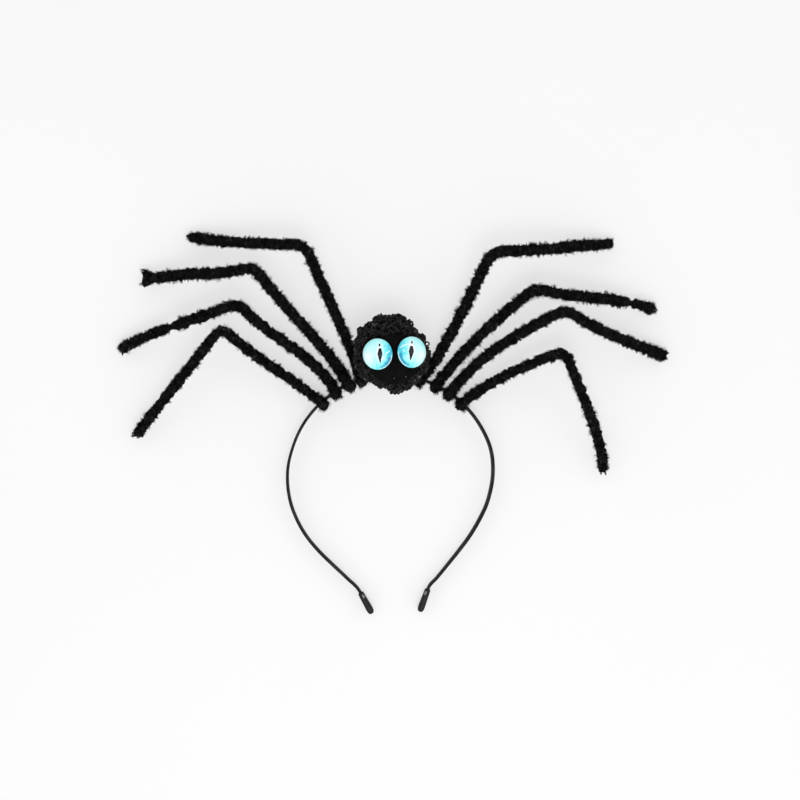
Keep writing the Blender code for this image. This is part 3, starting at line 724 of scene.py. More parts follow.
def iris_depth(g, x, y, ray_x, ray_y, away, row):
    """How saturated the print is: pale outward, where a reflection of the side light is painted in,
    deep inward and below, with fine rays.
    """
    rays = g.noise(1.7, 4.0, 0.6, g.vector(ray_x * 4.0, ray_y * 4.0, away))
    fine = g.noise(1.9, 3.0, 0.6, g.vector(ray_x * 11.0, ray_y * 11.0, away * 1.6))
    # Paler towards the outer side: the print, and a painted reflection of the side light
    deep = g.span(x * (0.86 * row.inward) - y * 0.42, -0.62, 1.00)
    stir = ((rays - 0.5) * 0.95 + (fine - 0.5) * 0.70) * (deep * 0.90 + 0.30)
    patch = spot(g, x, y, (-0.46 * row.inward, 0.66), (0.72, 0.84))
    halo = spot(g, x, y, (row.pupil_x, row.pupil_y + 0.06), (0.32, 0.84))
    depth = (deep + stir) * 0.72 + 0.05 + patch * 0.22 + g.span(y, -0.4, 0.9) * 0.04
    return depth + g.span(away, 0.45, 1.0) * 0.18 - halo * 0.34


def rim_arcs(g, ray_x, ray_y, away, iris, row):
    """Painted blue shade in blotches at the inner rim, and along the lower inner rim a painted dark
    arc of shade and a painted white highlight arc.
    """
    low_side = g.span(ray_x * (0.77 * row.inward) - ray_y * 0.64, 0.68, 0.94)
    shade_ring = g.span(away, 0.76, 0.84) * g.span(away, 0.94, 0.90)
    blotch = g.span(g.noise(480.0, 2.0), 0.38, 0.62)
    iris = g.mix(low_side * shade_ring * (blotch * 0.5 + 0.45), iris, RIM_SHADE_BLUE)
    high_side = g.span(ray_x * (0.94 * row.inward) + ray_y * 0.34, 0.86, 0.98)
    shade_patches = high_side * g.span(away, 0.68, 0.84) * blotch
    iris = g.mix(shade_patches * 0.60, iris, RIM_SHADE_PATCH_BLUE)
    highlight_ring = g.span(away, 0.942, 0.954) * g.span(away, 0.972, 0.962)
    return g.mix(low_side * highlight_ring, iris, RIM_HIGHLIGHT_WHITE)


def eye_material(row):
    """Glossy dome over a print: pale outward, turquoise inward, with a slit pupil. Light and shade are
    also painted in: a reflection on the pale side, shade and a highlight at the rim, glints in streaks
    and in the pupil, and a shadow round the edge.
    """
    g = Graph(row.name + "_print")
    x, y = (g.part(g.place(), axis) / (EYE_DIAMETER / 2) for axis in "XY")
    away = g.math("SQRT", x * x + y * y)
    safe = g.math("MAXIMUM", away, 0.02)
    ray_x, ray_y = x / safe, y / safe
    iris = g.ramp(iris_depth(g, x, y, ray_x, ray_y, away, row), IRIS_COLOURS)
    iris = rim_arcs(g, ray_x, ray_y, away, iris, row)
    # Painted glints, as short pale streaks
    for streak in STREAKS[row.name]:
        iris = g.mix(streak_mask(g, x, y, streak) * 0.85, iris, GLINT_STREAK_WHITE)
    # Painted glint in the pupil
    glint = spot(g, x, y, (row.pupil_x, row.pupil_y + 0.05), (0.08, 0.20))
    pupil = g.mix(glint, PUPIL_BLACK, PUPIL_GLINT)
    colour = g.mix(pupil_mask(g, x, y, row), iris, pupil)
    # Painted shadow: a thin dark line round the edge of the eye
    colour = g.mix(g.span(away, 0.975, 0.993), colour, RIM_SHADOW_BLACK)
    return g.finish(Base_Color=colour, Roughness=0.10, Specular_IOR_Level=0.30, Coat_Weight=0.25,
                    Coat_Roughness=0.03)


def segment_point(start, end, bow, sway, t):
    """Point on a leg segment that bows to one side and sways."""
    run = end - start
    side = Vector((-run.y, run.x, 0))
    offset = (bow * BOW_PEAK + sway * SWAY_PEAK * (1 - 2 * t)) * t * (1 - t)
    return start + run * t + side * offset


def leg_joints(row):
    """Hip, knee corner and tip of a leg."""
    hip = BAND_MIDDLE + heading(math.radians(row.hip)) * BAND_RADIUS
    hip.z = band_height(hip.y)
    knee = hip + heading(math.radians(row.thigh_turn)) * row.thigh * LEG_LENGTH
    knee.z = KNEE_HEIGHT * row.knee
    tip = knee + heading(math.radians(row.shin_turn)) * row.shin * LEG_LENGTH
    tip.z = LEG_WIDTH * row.tip * (1 + LEG_LOBE) / 2
    return hip, knee, tip


def leg_line(row):
    """Middle line of a leg from hip to tip at even steps, and the distances along it."""
    hip, knee, tip = leg_joints(row)
    thigh_length = (knee - hip).length
    shin_length = (tip - knee).length
    points = []
    steps = round((thigh_length - KNEE_ROUND) / MM)
    for k in range(steps + 1):
        t = k / steps * (1 - KNEE_ROUND / thigh_length)
        point = segment_point(hip, knee, row.thigh_bow, row.thigh_sway, t)
        point.z = hip.z + (knee.z - hip.z) * (1 - math.cos(math.pi * t)) / 2
        points.append(point)
    shin = []
    steps = round((shin_length - KNEE_ROUND) / MM)
    first = KNEE_ROUND / shin_length
    for k in range(steps + 1):
        t = first + k / steps * (1 - first)
        point = segment_point(knee, tip, row.shin_bow, row.shin_sway, t)
        point.z = tip.z + (knee.z - tip.z) * math.cos(math.pi / 2 * t)
        shin.append(point)
    start, end = points[-1], shin[0]
    steps = round(2 * KNEE_ROUND / MM)
    for k in range(1, steps):
        t = k / steps
        points.append(start * (1 - t) ** 2 + knee * 2 * t * (1 - t) + end * t ** 2)
    return resample(np.array(points + shin), STRAND_STEP)


def leg_frame(line):
    """Directions along, to the side of and above a leg at each of its points."""
    along = unit(np.gradient(line, axis=0))
    side = unit(np.cross(along, (0.0, 0.0, 1.0)))
    return along, side, np.cross(side, along)


def pile_scale(row, marks):
    """Length of the pile along a leg: fuller at the root, shorter at a waist."""
    root = 1 + ROOT_SWELL * np.exp(-(marks / ROOT_LENGTH) ** 2)
    return root * read_table(SHINS[row.name], (marks[-1] - marks) / MM, "scale")


def side_shift(row, marks):
    """How far a leg lies to the side of its line, from nothing at the root."""
    shift = read_table(SHINS[row.name], (marks[-1] - marks) / MM, "shift") * MM
    return shift * smoothstep(marks, 0, SAG_START)


def strand(row, look, line, marks, sign):
    """One of a leg's strands from hip to tip, as rows of a stem."""
    along, side, up = leg_frame(line)
    twist = math.radians(look.twist_start) + 2 * np.pi * marks / STRAND_PITCH
    twist += TWIST_WANDER * np.sin(marks / WANDER_LENGTH + look.twist_start)
    free = smoothstep(marks, HOOK_HOLD, HOOK_LET_GO)
    parting = np.clip((marks - marks[-1] + SPLAY_LENGTH) / SPLAY_LENGTH, 0, 1)
    scale = look.full * pile_scale(row, marks)
    reach = look.strand_reach * MM * scale
    lift = sign * ((1 - free) * HOOK_SPREAD + free * reach * np.sin(twist) * (1 - parting))
    out = sign * (free * reach * np.cos(twist) * (1 - parting) + look.splay * MM * parting)
    offset = side * out[:, None] + up * lift[:, None]
    middle = line + side * side_shift(row, marks)[:, None]
    inner = -offset / np.maximum(np.linalg.norm(offset, axis=1, keepdims=True), 1e-6)
    inner *= (free * (parting < PARTED))[:, None]
    rows = np.concatenate([middle + offset, side, inner, scale[:, None]], axis=1)
    shorter = max(0.0, -sign * look.longer * MM)
    return rows[:len(rows) - int(round(shorter / STRAND_STEP))]


def hook_turn(line):
    """The stem's turn round the inner side of the strip."""
    along, side, up = (rows[0] for rows in leg_frame(line))
    rows = []
    for angle in np.radians(HOOK_ANGLES):
        inner = -along * HOOK_DROP * math.cos(angle)
        place = line[0] + inner + up * HOOK_SPREAD * math.sin(angle)
        rows.append(np.concatenate([place, side, np.zeros(3), [HOOK_PILE]]))
    return np.array(rows)


def leg_stem(row, look):
    """The whole stem from one tip round the strip to the other tip, at even steps."""
    line, marks = leg_line(row)
    upper = strand(row, look, line, marks, 1)[::-1]
    lower = strand(row, look, line, marks, -1)
    return resample(np.concatenate([upper, hook_turn(line), lower]), STRAND_STEP)


def stem_frame(stem):
    """Directions along, across and out of a stem at each of its rows."""
    along = unit(np.gradient(stem[:, PLACE], axis=0))
    side = stem[:, SIDE]
    across = unit(side - along * np.sum(side * along, axis=1, keepdims=True))
    return along, across, np.cross(along, across)


def stem_mass(stem, marks, look, rng):
    """Dense middle of the pile: knobbly, and grooved between the turns of its fibres."""
    angle = 2 * np.pi * np.arange(MASS_SIDES) / MASS_SIDES
    ridge = np.cos(2 * (angle[None] - 2 * np.pi * marks[:, None] / MASS_PITCH))
    knobs = rng.normal(0, MASS_KNOBS * look.uneven, (len(stem), MASS_SIDES))
    knobs = (knobs[:-1] + knobs[1:]) / math.sqrt(2)
    knobs = np.clip(np.concatenate([knobs, knobs[-1:]]), *MASS_KNOB_RANGE)
    ends = np.minimum(marks, marks[-1] - marks)
    taper = np.sqrt(np.clip(MASS_BLUNT + ends / MASS_TAPER, 0, 1))
    radius = (MASS_RADIUS * stem[:, SCALE, None] * (1 + knobs) + MASS_RIDGE * ridge) * taper[:, None]
    lowest = np.maximum(stem[:, 2, None] - FLOOR_ROOM, FLOOR_ROOM)
    radius = np.minimum(radius, lowest)
    # Painted shade: the dense middle darker than the fibres, and a painted highlight where its knobs
    # bulge out
    tone = 0.22 + 0.9 * knobs[None]
    return tubes(stem[None, :, PLACE], stem[None, :, SIDE], radius[None], MASS_SIDES, tone)


def on_stem(stem, marks, place, turn):
    """Row of the stem at each place, and the outward direction at each turn about it."""
    along, across, lift = stem_frame(stem)
    index = np.clip(np.round(place / marks[-1] * (len(marks) - 1)).astype(int), 0, len(marks) - 1)
    out = across[index] * np.cos(turn)[:, None] + lift[index] * np.sin(turn)[:, None]
    return index, out, along[index]


def stem_pile(stem, marks, look, rng):
    """Fibres that stand out all round the stem, gathered in clumps at their tips."""
    length = marks[-1]
    clumps = int(length / CLUMP_STEP) * CLUMPS_AROUND
    middle = rng.uniform(0, length, clumps)
    turn = (np.arange(clumps) + rng.uniform(-0.3, 0.3, clumps)) * 2 * np.pi / CLUMPS_AROUND
    long = np.clip(1 + rng.normal(0, 1.1 * look.uneven, clumps), *CLUMP_REACH)
    lean = rng.normal(0, CLUMP_LEAN, clumps)
    shade = rng.beta(2.0, 3.0, clumps) * 0.9
    # Pale clumps: lint, and painted glints
    shade = np.where(rng.random(clumps) < CLUMP_PALE, 0.96, shade)
    owner = np.repeat(np.arange(clumps), CLUMP_FIBRES)
    count = len(owner)
    along_by = rng.normal(0, CLUMP_SPREAD, count)
    turn_by = rng.normal(0, CLUMP_TURN, count)
    foot_place = np.clip(middle[owner] + along_by, 0, length)
    tip_place = np.clip(middle[owner] + along_by * CLUMP_GATHER, 0, length)
    foot_at, foot_out, _ = on_stem(stem, marks, foot_place, turn[owner] + turn_by)
    tip_at, tip_out, along = on_stem(stem, marks, tip_place, turn[owner] + turn_by * CLUMP_GATHER)
    near_end = (smoothstep(tip_place, length - END_LENGTH, length)
                - smoothstep(tip_place, END_LENGTH, 0.0))
    tip_lean = lean[owner] + END_LEAN * near_end
    reach = PILE_REACH * stem[tip_at, SCALE] * long[owner] * (1 + rng.normal(0, PILE_UNEVEN, count))
    reach *= 1 - END_TRIM * near_end ** 2
    direction = unit(tip_out + along * tip_lean[:, None])
    base = stem[foot_at, PLACE] + foot_out * PILE_FOOT
    tip = stem[tip_at, PLACE] + direction * reach[:, None]
    for ends in (base, tip):
        ends[:, 2] = np.maximum(ends[:, 2], FLOOR_ROOM)
    span = np.linalg.norm(tip - base, axis=1)
    keep = np.sum(tip_out * stem[tip_at, INNER], axis=1) < PILE_INWARD
    keep &= span > PILE_SHORTEST
    tone = np.clip(shade[owner] + rng.normal(0, 0.10, count), 0.0, 0.97)
    # Pale fibres: lint, and painted glints
    tone = np.where(rng.random(count) < PILE_PALE, 1.0, tone)
    return fibres(base[keep], (tip - base)[keep], span[keep], PILE_WIDTH, tone[keep])


def add_leg(row, mat, seed):
    look = LEG_LOOKS[row.name]
    rng = np.random.default_rng(seed)
    stem, marks = leg_stem(row, look)
    shape = join([stem_mass(stem, marks, look, rng), stem_pile(stem, marks, look, rng)])
    add_piece(row.name + "_chenille", shape, mat, row.name, smooth=False)


def ball_centre():
    return BAND_MIDDLE + Vector((BALL_SHIFT, BAND_RADIUS + BALL_RISE, BALL_LIFT + BALL_HALF_DEPTH))


def core_radii():
    wide = BALL_RADIUS - CURL_RISE
    return Vector((wide, wide, BALL_HALF_DEPTH - CURL_RISE))


def face_centre():
    """Middle of the sphere that the pad's front follows."""
    front = core_radii().z - PAD_PRESS + GAP + PAD_THICKNESS
    return ball_centre() + Vector((0, 0, front - FACE_CURVE))


def face_direction(across, up):
    """Direction from the face's centre to a point of its front."""
    return Vector((across, up, math.sqrt(FACE_CURVE ** 2 - across ** 2 - up ** 2))).normalized()


def along_axis(origin, axis, turn=0.0):
    """Placement at origin with its Z along axis and its Y to the crown, turned about Z."""
    up = (Vector((0, 1, 0)) - axis * axis.y).normalized()
    facing = Matrix((up.cross(axis), up, axis)).transposed().to_4x4()
    return Matrix.Translation(origin) @ facing @ Matrix.Rotation(turn, 4, "Z")


def moved(points, place):
    """Points carried along by a placement."""
    grid = np.array(place)
    return points @ grid[:3, :3].T + grid[:3, 3]


def eye_placement(row):
    axis = face_direction(row.across * EYE_DIAMETER, row.up * EYE_DIAMETER)
    return along_axis(face_centre() + axis * (FACE_CURVE - EYE_SINK), axis, math.radians(row.lean))


def pad_axis():
    return face_direction(PAD_ACROSS, -PAD_DROP)


def pad_placement():
    return along_axis(face_centre(), pad_axis())


def golden_directions(count):
    """Even spread of directions over a sphere."""
    i = np.arange(count)
    z = 1 - (2 * i + 1) / count
    flat = np.sqrt(1 - z * z)
    turn = i * math.pi * (3 - math.sqrt(5))
    return np.stack([flat * np.cos(turn), flat * np.sin(turn), z], axis=1)


def lock_height(directions):
    """Rise of the yarn where the ball's locks stand, and the fall between them."""
    locks = golden_directions(LOCK_COUNT)
    nearest = np.max(directions @ locks.T, axis=1).clip(-1, 1)
    away = np.arccos(nearest) * BALL_RADIUS
    return LOCK_RISE * np.exp(-(away / LOCK_SPREAD) ** 2)


def outline_share(directions):
    """How far the yarn reaches at each direction, as a share of the ball's radius."""
    degrees = np.degrees(np.arctan2(directions[:, 0], directions[:, 1]))
    share = read_table(BALL_OUTLINE, degrees, "share")
    return 1 + (share - 1) * smoothstep(np.hypot(*directions[:, :2].T), *OUTLINE_FADE)


def clear_of_eyes(points, room=0.0):
    """True where points lie outside the eyes by at least room."""
    clear = np.ones(len(points), dtype=bool)
    for row in EYES:
        local = moved(points, eye_placement(row).inverted())
        away = np.hypot(local[:, 0], local[:, 1])
        clear &= (away > EYE_DIAMETER / 2 + room) | (local[:, 2] < -room)
    return clear


def clear_of_face(points, room):
    """True where points lie outside the pad and the eyes by at least room."""
    toward = unit(points - np.array(face_centre()))
    bare = math.asin((PAD_DIAMETER / 2 + room) / FACE_CURVE)
    return (toward @ np.array(pad_axis()) < math.cos(bare)) & clear_of_eyes(points, room)


def clear_of_legs(points, lines, room):
    """True where points lie further than room from the middle lines of the legs."""
    clear = np.ones(len(points), dtype=bool)
    for line in lines:
        gaps = np.linalg.norm(points[:, None] - line[None], axis=2)
        clear &= gaps.min(axis=1) > room
    return clear


def ball_loops(rng, lines):
    """Loops of yarn all over the ball: path, plane and tone of each."""
    scatter = rng.normal(0, LOOP_SCATTER, (LOOP_COUNT, 3))
    out = unit(golden_directions(LOOP_COUNT) + scatter)
    radii = np.array(core_radii())
    normal = unit(out / radii)
    lift = lock_height(out)
    foot = (np.array(ball_centre()) + out * radii * outline_share(out)[:, None]
            + normal * (lift - LOOP_SINK)[:, None])
    stand = unit(normal + rng.normal(0, LOOP_TILT, foot.shape))
    side = unit(np.cross(stand, unit(rng.normal(0, 1, foot.shape))))
    across = np.cross(stand, side)
    radius = rng.uniform(*LOOP_RADIUS, LOOP_COUNT)
    top = foot + stand * (radius * LOOP_TOP)[:, None]
    keep = clear_of_face(top, 0.5 * MM) & clear_of_face(foot + normal * LOOP_SINK, -0.3 * MM)
    keep &= clear_of_legs(top, lines, LEG_ROOM)
    foot, stand, side, across, radius = (rows[keep] for rows in (foot, stand, side, across, radius))
    count = len(foot)
    angle = np.linspace(-LOOP_TURN, LOOP_TURN, LOOP_POINTS)[None, :, None]
    size = radius[:, None, None]
    drift = rng.uniform(*LOOP_DRIFT, count)[:, None, None] * MM
    squeeze = rng.uniform(*LOOP_SQUEEZE, count)[:, None, None]
    rise = LOOP_SEAT + np.cos(angle)
    paths = (foot[:, None] + stand[:, None] * size * rise
             + side[:, None] * size * squeeze * np.sin(angle)
             + across[:, None] * drift * angle / LOOP_TURN)
    # Painted highlight: greyer towards the tops of the loops and on the raised locks
    height = rise[..., 0] / (LOOP_SEAT + 1)
    tone = (0.25 + 0.75 * height) * rng.uniform(0.65, 1.1, count)[:, None]
    tone *= 0.7 + 0.3 * (lift[keep] / LOCK_RISE)[:, None]
    return paths, across, tone


def ball_core():
    """Middle of the ball under the loops, dark as painted shade, pressed in behind the pad and the
    eyes.
    """
    profile = [(math.sin(a), math.cos(a)) for a in np.linspace(0, math.pi, 36)]
    # The low tone paints the shade under the loops
    sphere = turned(profile, 72, 0.12)
    out = unit(sphere.verts)
    verts = out * (np.array(core_radii()) - CORE_SINK) * outline_share(out)[:, None]
    verts += np.array(ball_centre()) + out * (lock_height(out) * CORE_LOCKS)[:, None]
    return Shape(press_behind(verts, 0.5 * MM), sphere.tris, sphere.tone)


def stray_curls(rng):
    """Rings of yarn that stand out at the ball's edge, flat to the viewer."""
    paths, tones = [], []
    angle = np.linspace(0, 2 * np.pi * STRAY_TURN, STRAY_POINTS)
    for row in STRAY_CURLS:
        turn, radius = math.radians(row.degrees), row.radius * MM
        middle = np.array(ball_centre() + heading(turn) * (row.away * MM))
        start = turn + math.pi + rng.uniform(-0.4, 0.4)
        paths.append(np.stack([middle[0] + radius * np.sin(angle + start),
                               middle[1] + radius * np.cos(angle + start),
                               middle[2] + STRAY_RISE * np.sin(angle)], axis=1))
        tones.append(np.full((STRAY_POINTS, 1), rng.uniform(0.4, 0.8)))
    paths = np.array(paths)
    reference = np.broadcast_to((0.0, 0.0, 1.0), paths.shape)
    curl = np.array([row.radius for row in STRAY_CURLS]) * MM
    thick = np.where(curl < OPEN_CURL, curl * 0.95, YARN_RADIUS * 0.86)
    radius = np.broadcast_to(thick[:, None, None], paths.shape[:2] + (YARN_SIDES,))
    return tubes(paths, reference, radius, YARN_SIDES, np.array(tones))


def press_behind(verts, room):
    """Moves points that lie in the pad or the eyes to behind them."""
    verts = verts.copy()
    centre = np.array(face_centre())
    away = verts - centre
    distance = np.linalg.norm(away, axis=1)
    behind = FACE_CURVE - PAD_THICKNESS - room
    bare = math.asin(PAD_DIAMETER / 2 / FACE_CURVE)
    inside = (away @ np.array(pad_axis()) > distance * math.cos(bare)) & (distance > behind)
    verts[inside] = centre + away[inside] * (behind / distance[inside])[:, None]
    return press_under_eyes(verts, room)


def press_under_eyes(verts, room):
    """Moves points that lie in an eye's seat down to its back."""
    verts = verts.copy()
    for row in EYES:
        place = eye_placement(row)
        local = moved(verts, place.inverted())
        away = np.hypot(local[:, 0], local[:, 1])
        seat = (away < EYE_DIAMETER / 2 + GAP) & (local[:, 2] > -room)
        local[seat, 2] = -room
        verts[seat] = moved(local, place)[seat]
    return verts


def yarn_hairs(rng, paths):
    """Fine hairs that stand off the loops of yarn."""
    pick = rng.integers(0, len(paths), YARN_HAIRS)
    at = rng.integers(2, LOOP_POINTS - 2, YARN_HAIRS)
    base = paths[pick, at]
    outward = unit(base - np.array(ball_centre()))
    direction = unit(rng.normal(0, 1, base.shape) + outward * HAIR_OUTWARD)
    length = rng.uniform(*HAIR_LENGTH, YARN_HAIRS) * MM
    keep = clear_of_face(base + direction * length[:, None], 0.1 * MM)
    tone = rng.uniform(0.2, 0.8, int(keep.sum()))
    return fibres(base[keep], direction[keep], length[keep], HAIR_WIDTH, tone)


def add_ball(mat, lines):
    """Ball of curly loop yarn, with the fine hairs of its yarn."""
    rng = np.random.default_rng(SEED + 50)
    paths, across, tone = ball_loops(rng, lines)
    swell = 0.85 + 0.15 * np.cos(np.linspace(-1.2, 1.2, LOOP_POINTS))
    radius = YARN_RADIUS * swell[None, :, None] * rng.uniform(0.85, 1.12, len(paths))[:, None, None]
    radius = np.repeat(radius, YARN_SIDES, axis=2)
    loops = tubes(paths, np.repeat(across[:, None], LOOP_POINTS, axis=1), radius, YARN_SIDES,
                  tone[:, :, None])
    hairs = yarn_hairs(rng, paths)
    shape = join([ball_core(), loops, hairs, stray_curls(rng)])
    piece = add_piece("yarn_ball", shape, mat, "pompom")


def on_sphere(radius, angle):
    return radius * math.sin(angle), radius * math.cos(angle)


def pad_profile():
    """Profile of the felt between two spheres about the face's centre, with a round rim."""
    outer, inner = FACE_CURVE, FACE_CURVE - PAD_THICKNESS
    edge = PAD_THICKNESS / 2
    angle = math.asin(PAD_DIAMETER / 2 / FACE_CURVE)
    trim = angle - edge / FACE_CURVE
    front = [on_sphere(outer, trim * k / PAD_RINGS) for k in range(PAD_RINGS + 1)]
    rim = []
    for turn in np.radians(np.arange(15, 180, 15)):
        rim.append(on_sphere((outer + inner) / 2 + edge * math.cos(turn),
                             trim + edge * math.sin(turn) / FACE_CURVE))
    back = [on_sphere(inner, trim * k / PAD_RINGS) for k in range(PAD_RINGS, -1, -1)]
    return front + rim + back


def add_face_pad(mat):
    """Felt disc bent over the ball, pressed in under the eyes, with a short nap."""
    rng = np.random.default_rng(SEED + 60)
    disc = turned(pad_profile(), 128, 0.5)
    verts = moved(disc.verts, pad_placement())
    centre = np.array(face_centre())
    out = unit(verts - centre)
    wave = np.array([noise.noise(Vector(v) * FELT_WAVES) for v in verts])
    verts = press_under_eyes(verts + out * (wave * FELT_WAVE)[:, None], 0.05 * MM)
    front = np.linalg.norm(verts - centre, axis=1) > FACE_CURVE - NAP_DEPTH
    pick = rng.choice(np.flatnonzero(front), NAP_FIBRES)
    base = verts[pick]
    direction = unit(rng.normal(0, 1, base.shape) + out[pick] * NAP_OUTWARD)
    length = rng.uniform(*NAP_LENGTH, NAP_FIBRES) * MM
    keep = clear_of_eyes(base + direction * length[:, None])
    nap = fibres(base[keep] - out[pick][keep] * 0.05 * MM, direction[keep], length[keep], NAP_WIDTH,
                 rng.uniform(0.1, 0.9, int(keep.sum())))
    felt = Shape(verts, disc.tris, disc.tone)
    piece = add_piece("felt_pad", join([felt, nap]), mat, "face_pad")


def add_lint(mat):
    """A few pale bits of lint that cling to the face and the yarn below it."""
    rng = np.random.default_rng(SEED + 70)
    bits = []
    shape = (LINT_FIBRES, 3)
    for across, up in LINT:
        out = np.array(face_direction(across * MM, up * MM))
        on_pad = math.hypot(across * MM - PAD_ACROSS, up * MM + PAD_DROP) < PAD_DIAMETER / 2 - MM
        middle = np.array(face_centre()) + out * (FACE_CURVE - (0 if on_pad else LINT_SINK))
        direction = unit(rng.normal(0, 1, shape) * (1, 1, 0.3))
        length = rng.uniform(*LINT_LENGTH, LINT_FIBRES) * MM
        base = middle - direction * length[:, None] / 2 + rng.normal(0, LINT_SPREAD, shape)
        bits.append(fibres(base, direction, length, LINT_WIDTH, np.ones(LINT_FIBRES)))
    add_piece("lint", join(bits), mat, "face_pad", smooth=False)


def add_eye(row):
    """Cabochon with a flat back, a short girdle and a dome."""
    radius = EYE_DIAMETER / 2
    rise = EYE_HEIGHT - EYE_GIRDLE
    profile = [(radius * math.sin(a), EYE_GIRDLE + rise * math.cos(a))
               for a in np.radians(np.linspace(0, 88, 30))]
    profile += [(radius, EYE_GIRDLE), (radius, EYE_EDGE), (radius - EYE_EDGE * 0.3, EYE_EDGE * 0.3),
                (radius - EYE_EDGE, 0.0), (0.0, 0.0)]
    shape = turned(profile, 96)
    add_piece(row.name + "_glass", shape, eye_material(row), row.name,
              eye_placement(row))


def arm_point(side, row):
    """A point of an arm, about the band's middle."""
    return Vector((SIDE_SIGN[side] * row.out, -row.drop, 0)) * BAND_RADIUS


def arm_end(side):
    """Last point of an arm and the direction of its sleeve, about the band's middle."""
    return arm_point(side, ARMS[side][-1]), -heading(SLEEVE_LEAN[side])


def arm_knots(side):
    knots = [arm_point(side, row) for row in ARMS[side]]
    end, axis = arm_end(side)
    grip = SLEEVE_LENGTH - SLEEVE_END_WALL
    for along in (SLEEVE_LEAD, SLEEVE_LEAD + grip / 2, SLEEVE_LEAD + grip):
        knots.append(end + axis * along)
    return knots


def rounded_section(width, depth, corner, steps=3):
    """Points round a rectangle with rounded corners, across and up."""
    points = []
    for quarter, (sx, sy) in enumerate(((1, 1), (-1, 1), (-1, -1), (1, -1))):
        centre = (sx * (width / 2 - corner), sy * (depth / 2 - corner))
        for k in range(steps + 1):
            angle = math.pi / 2 * (quarter + k / steps)
            points.append((centre[0] + corner * math.cos(angle), centre[1] + corner * math.sin(angle)))
    return np.array(points)


def add_strip(mat):
    """Painted strip with soft edges, leaning a little as it was bent."""
    arc = [heading(math.radians(a)) * BAND_RADIUS for a in ROUND_ANGLES]
    knots = arm_knots("left")[::-1] + arc + arm_knots("right")
    line = np.array([BAND_MIDDLE + p for p in smooth_path(knots, PATH_STEP)])
    line, marks = resample(line, STRIP_STEP)
    line[:, 2] = band_height(line[:, 1])
    along = unit(np.gradient(line, axis=0))
    out = unit(np.cross((0.0, 0.0, 1.0), along))
    up = np.cross(along, out)
    lean = np.radians(read_table(STRIP_LEAN, marks / marks[-1], "degrees"))[:, None, None]
    section = rounded_section(STRIP_THICKNESS + 2 * PAINT, STRIP_DEPTH, STRIP_CORNER)
    x, z = section[None, :, 0:1], section[None, :, 1:2]
    verts = (line[:, None] + out[:, None] * (x * np.cos(lean) + z * np.sin(lean))
             + up[:, None] * (z * np.cos(lean) - x * np.sin(lean)))
    tris = grid_tris(len(line), len(section))[:, ::-1]
    # The upper edge is marked for the painted highlight
    upper = (section[:, 1] > STRIP_DEPTH / 2 - 0.01 * MM).astype(float)
    shape = Shape(verts.reshape(-1, 3), tris, np.tile(upper, len(line)))
    add_piece("painted_strip", shape, mat, "headband")


def sleeve_rings():
    """Sections of a sleeve and their places along it, from its end to its mouth and inward."""
    rings = []
    for row in reversed(SLEEVE_ROWS):
        width, depth = SLEEVE_WIDTH * row.width, SLEEVE_DEPTH * row.depth
        rings.append((rounded_section(width, depth, width * SLEEVE_CORNER, 5), row.along))
    mouth = SLEEVE_ROWS[0]
    for row in SLEEVE_ROOM:
        width = SLEEVE_WIDTH * mouth.width - row.inset * 2 * MM
        depth = SLEEVE_DEPTH * mouth.depth - row.inset * 2 * MM
        rings.append((rounded_section(width, depth, width * ROOM_CORNER, 5), row.along))
    return rings


def add_sleeve(side, mat):
    """Rubber sleeve with a rounded end and an open mouth round the strip."""
    end, axis = arm_end(side)
    mouth = BAND_MIDDLE + end + axis * SLEEVE_LEAD
    mouth.z = band_height(mouth.y)
    across = Vector((axis.y, -axis.x, 0))
    slope = (band_height(1.0) - band_height(0.0)) * axis.y
    axis = (axis + Vector((0, 0, slope))).normalized()
    up = across.cross(axis)
    inward = -SIDE_SIGN[side] * (1 if across.x > 0 else -1)
    verts, tones = [], []
    rings = sleeve_rings()
    for section, share in rings:
        for x, z in section:
            verts.append(mouth + axis * (SLEEVE_LENGTH * share) + across * x + up * z)
            shiny = SHINE_FROM < share < SHINE_TO and z > SHINE_ABOVE and x * inward > 0
            tones.append(1.0 if shiny else 0.5)
    tris = grid_tris(len(rings), len(rings[0][0]))
    shape = Shape(np.array(verts), tris, np.array(tones))
    add_piece("sleeve_" + side, shape, mat, "tip_" + side)


def add_floor():
    mesh = bpy.data.meshes.new("floor")
    half = FLOOR_SIZE / 2
    mesh.from_pydata([(-half, -half, 0), (half, -half, 0), (half, half, 0), (-half, half, 0)], [],
                     [(0, 1, 2, 3)])
    g = Graph("glowing_floor_paper")
    colour = g.greys(g.noise(3.0, 2.0), (0.3, FLOOR_WHITE - 0.005), (0.7, FLOOR_WHITE + 0.005))
    # Its glow is painted light that lifts the shadows on it
    mesh.materials.append(g.finish(
        Base_Color=colour, Roughness=0.9, Specular_IOR_Level=0.1,
        Emission_Color=(1.0, 1.0, 1.0, 1.0), Emission_Strength=FLOOR_GLOW))
    floor = link_object("floor", mesh)


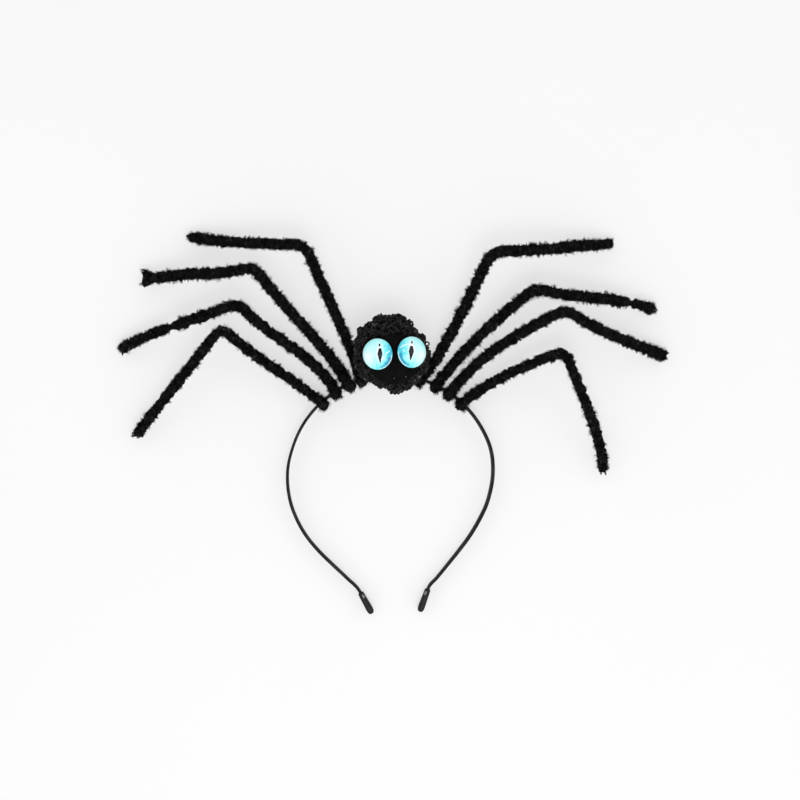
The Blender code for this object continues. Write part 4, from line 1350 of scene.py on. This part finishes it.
def add_sky():
    """Light from all sides, weaker straight above."""
    world = bpy.data.worlds.new("soft_sky")
    world.use_nodes = True
    tree = world.node_tree
    place = tree.nodes.new("ShaderNodeTexCoord")
    parts = tree.nodes.new("ShaderNodeSeparateXYZ")
    fade = tree.nodes.new("ShaderNodeMapRange")
    fade.interpolation_type = "SMOOTHSTEP"
    tree.links.new(place.outputs["Generated"], parts.inputs[0])
    tree.links.new(parts.outputs["Z"], fade.inputs["Value"])
    for name, value in (("From Min", SKY_FADE[0]), ("From Max", SKY_FADE[1]),
                        ("To Min", SKY_SIDES), ("To Max", SKY_TOP)):
        fade.inputs[name].default_value = value
    background = tree.nodes["Background"]
    background.inputs["Color"].default_value = (1.0, 1.0, 1.0, 1.0)
    tree.links.new(fade.outputs["Result"], background.inputs["Strength"])
    bpy.context.scene.world = world


def add_lamp():
    data = bpy.data.lights.new("soft_lamp", "AREA")
    data.shape = "DISK"
    data.size = LAMP_SIZE
    data.energy = LAMP_WATTS
    lamp = link_object("soft_lamp", data)
    lamp.location = LAMP_PLACE
    aim = Vector((0, 0, 0.01)) - Vector(LAMP_PLACE)
    lamp.rotation_euler = aim.to_track_quat("-Z", "Y").to_euler()


def add_camera():
    data = bpy.data.cameras.new("camera")
    data.sensor_width = SENSOR_MM
    data.lens = SENSOR_MM * CAMERA_HEIGHT / VIEW_WIDTH
    camera = link_object("camera", data)
    camera.location = (CAMERA_X, CAMERA_Y, CAMERA_HEIGHT)
    bpy.context.scene.camera = camera


def main():
    scene = bpy.context.scene
    scene.view_settings.view_transform = "Standard"
    scene.view_settings.look = "None"
    add_camera()
    add_floor()
    add_sky()
    add_lamp()
    chenille = chenille_material()
    for number, row in enumerate(LEGS):
        add_leg(row, chenille, SEED + number)
    near = round(NEAR_BALL / STRAND_STEP)
    inner_legs = [leg_line(row)[0][:near] for row in LEGS if row.name.endswith("_1")]
    add_ball(yarn_material(), inner_legs)
    add_face_pad(felt_material())
    add_lint(lint_material())
    for row in EYES:
        add_eye(row)
    add_strip(metal_material())
    rubber = rubber_material()
    for side in ("left", "right"):
        add_sleeve(side, rubber)
    bpy.context.view_layer.update()


main()
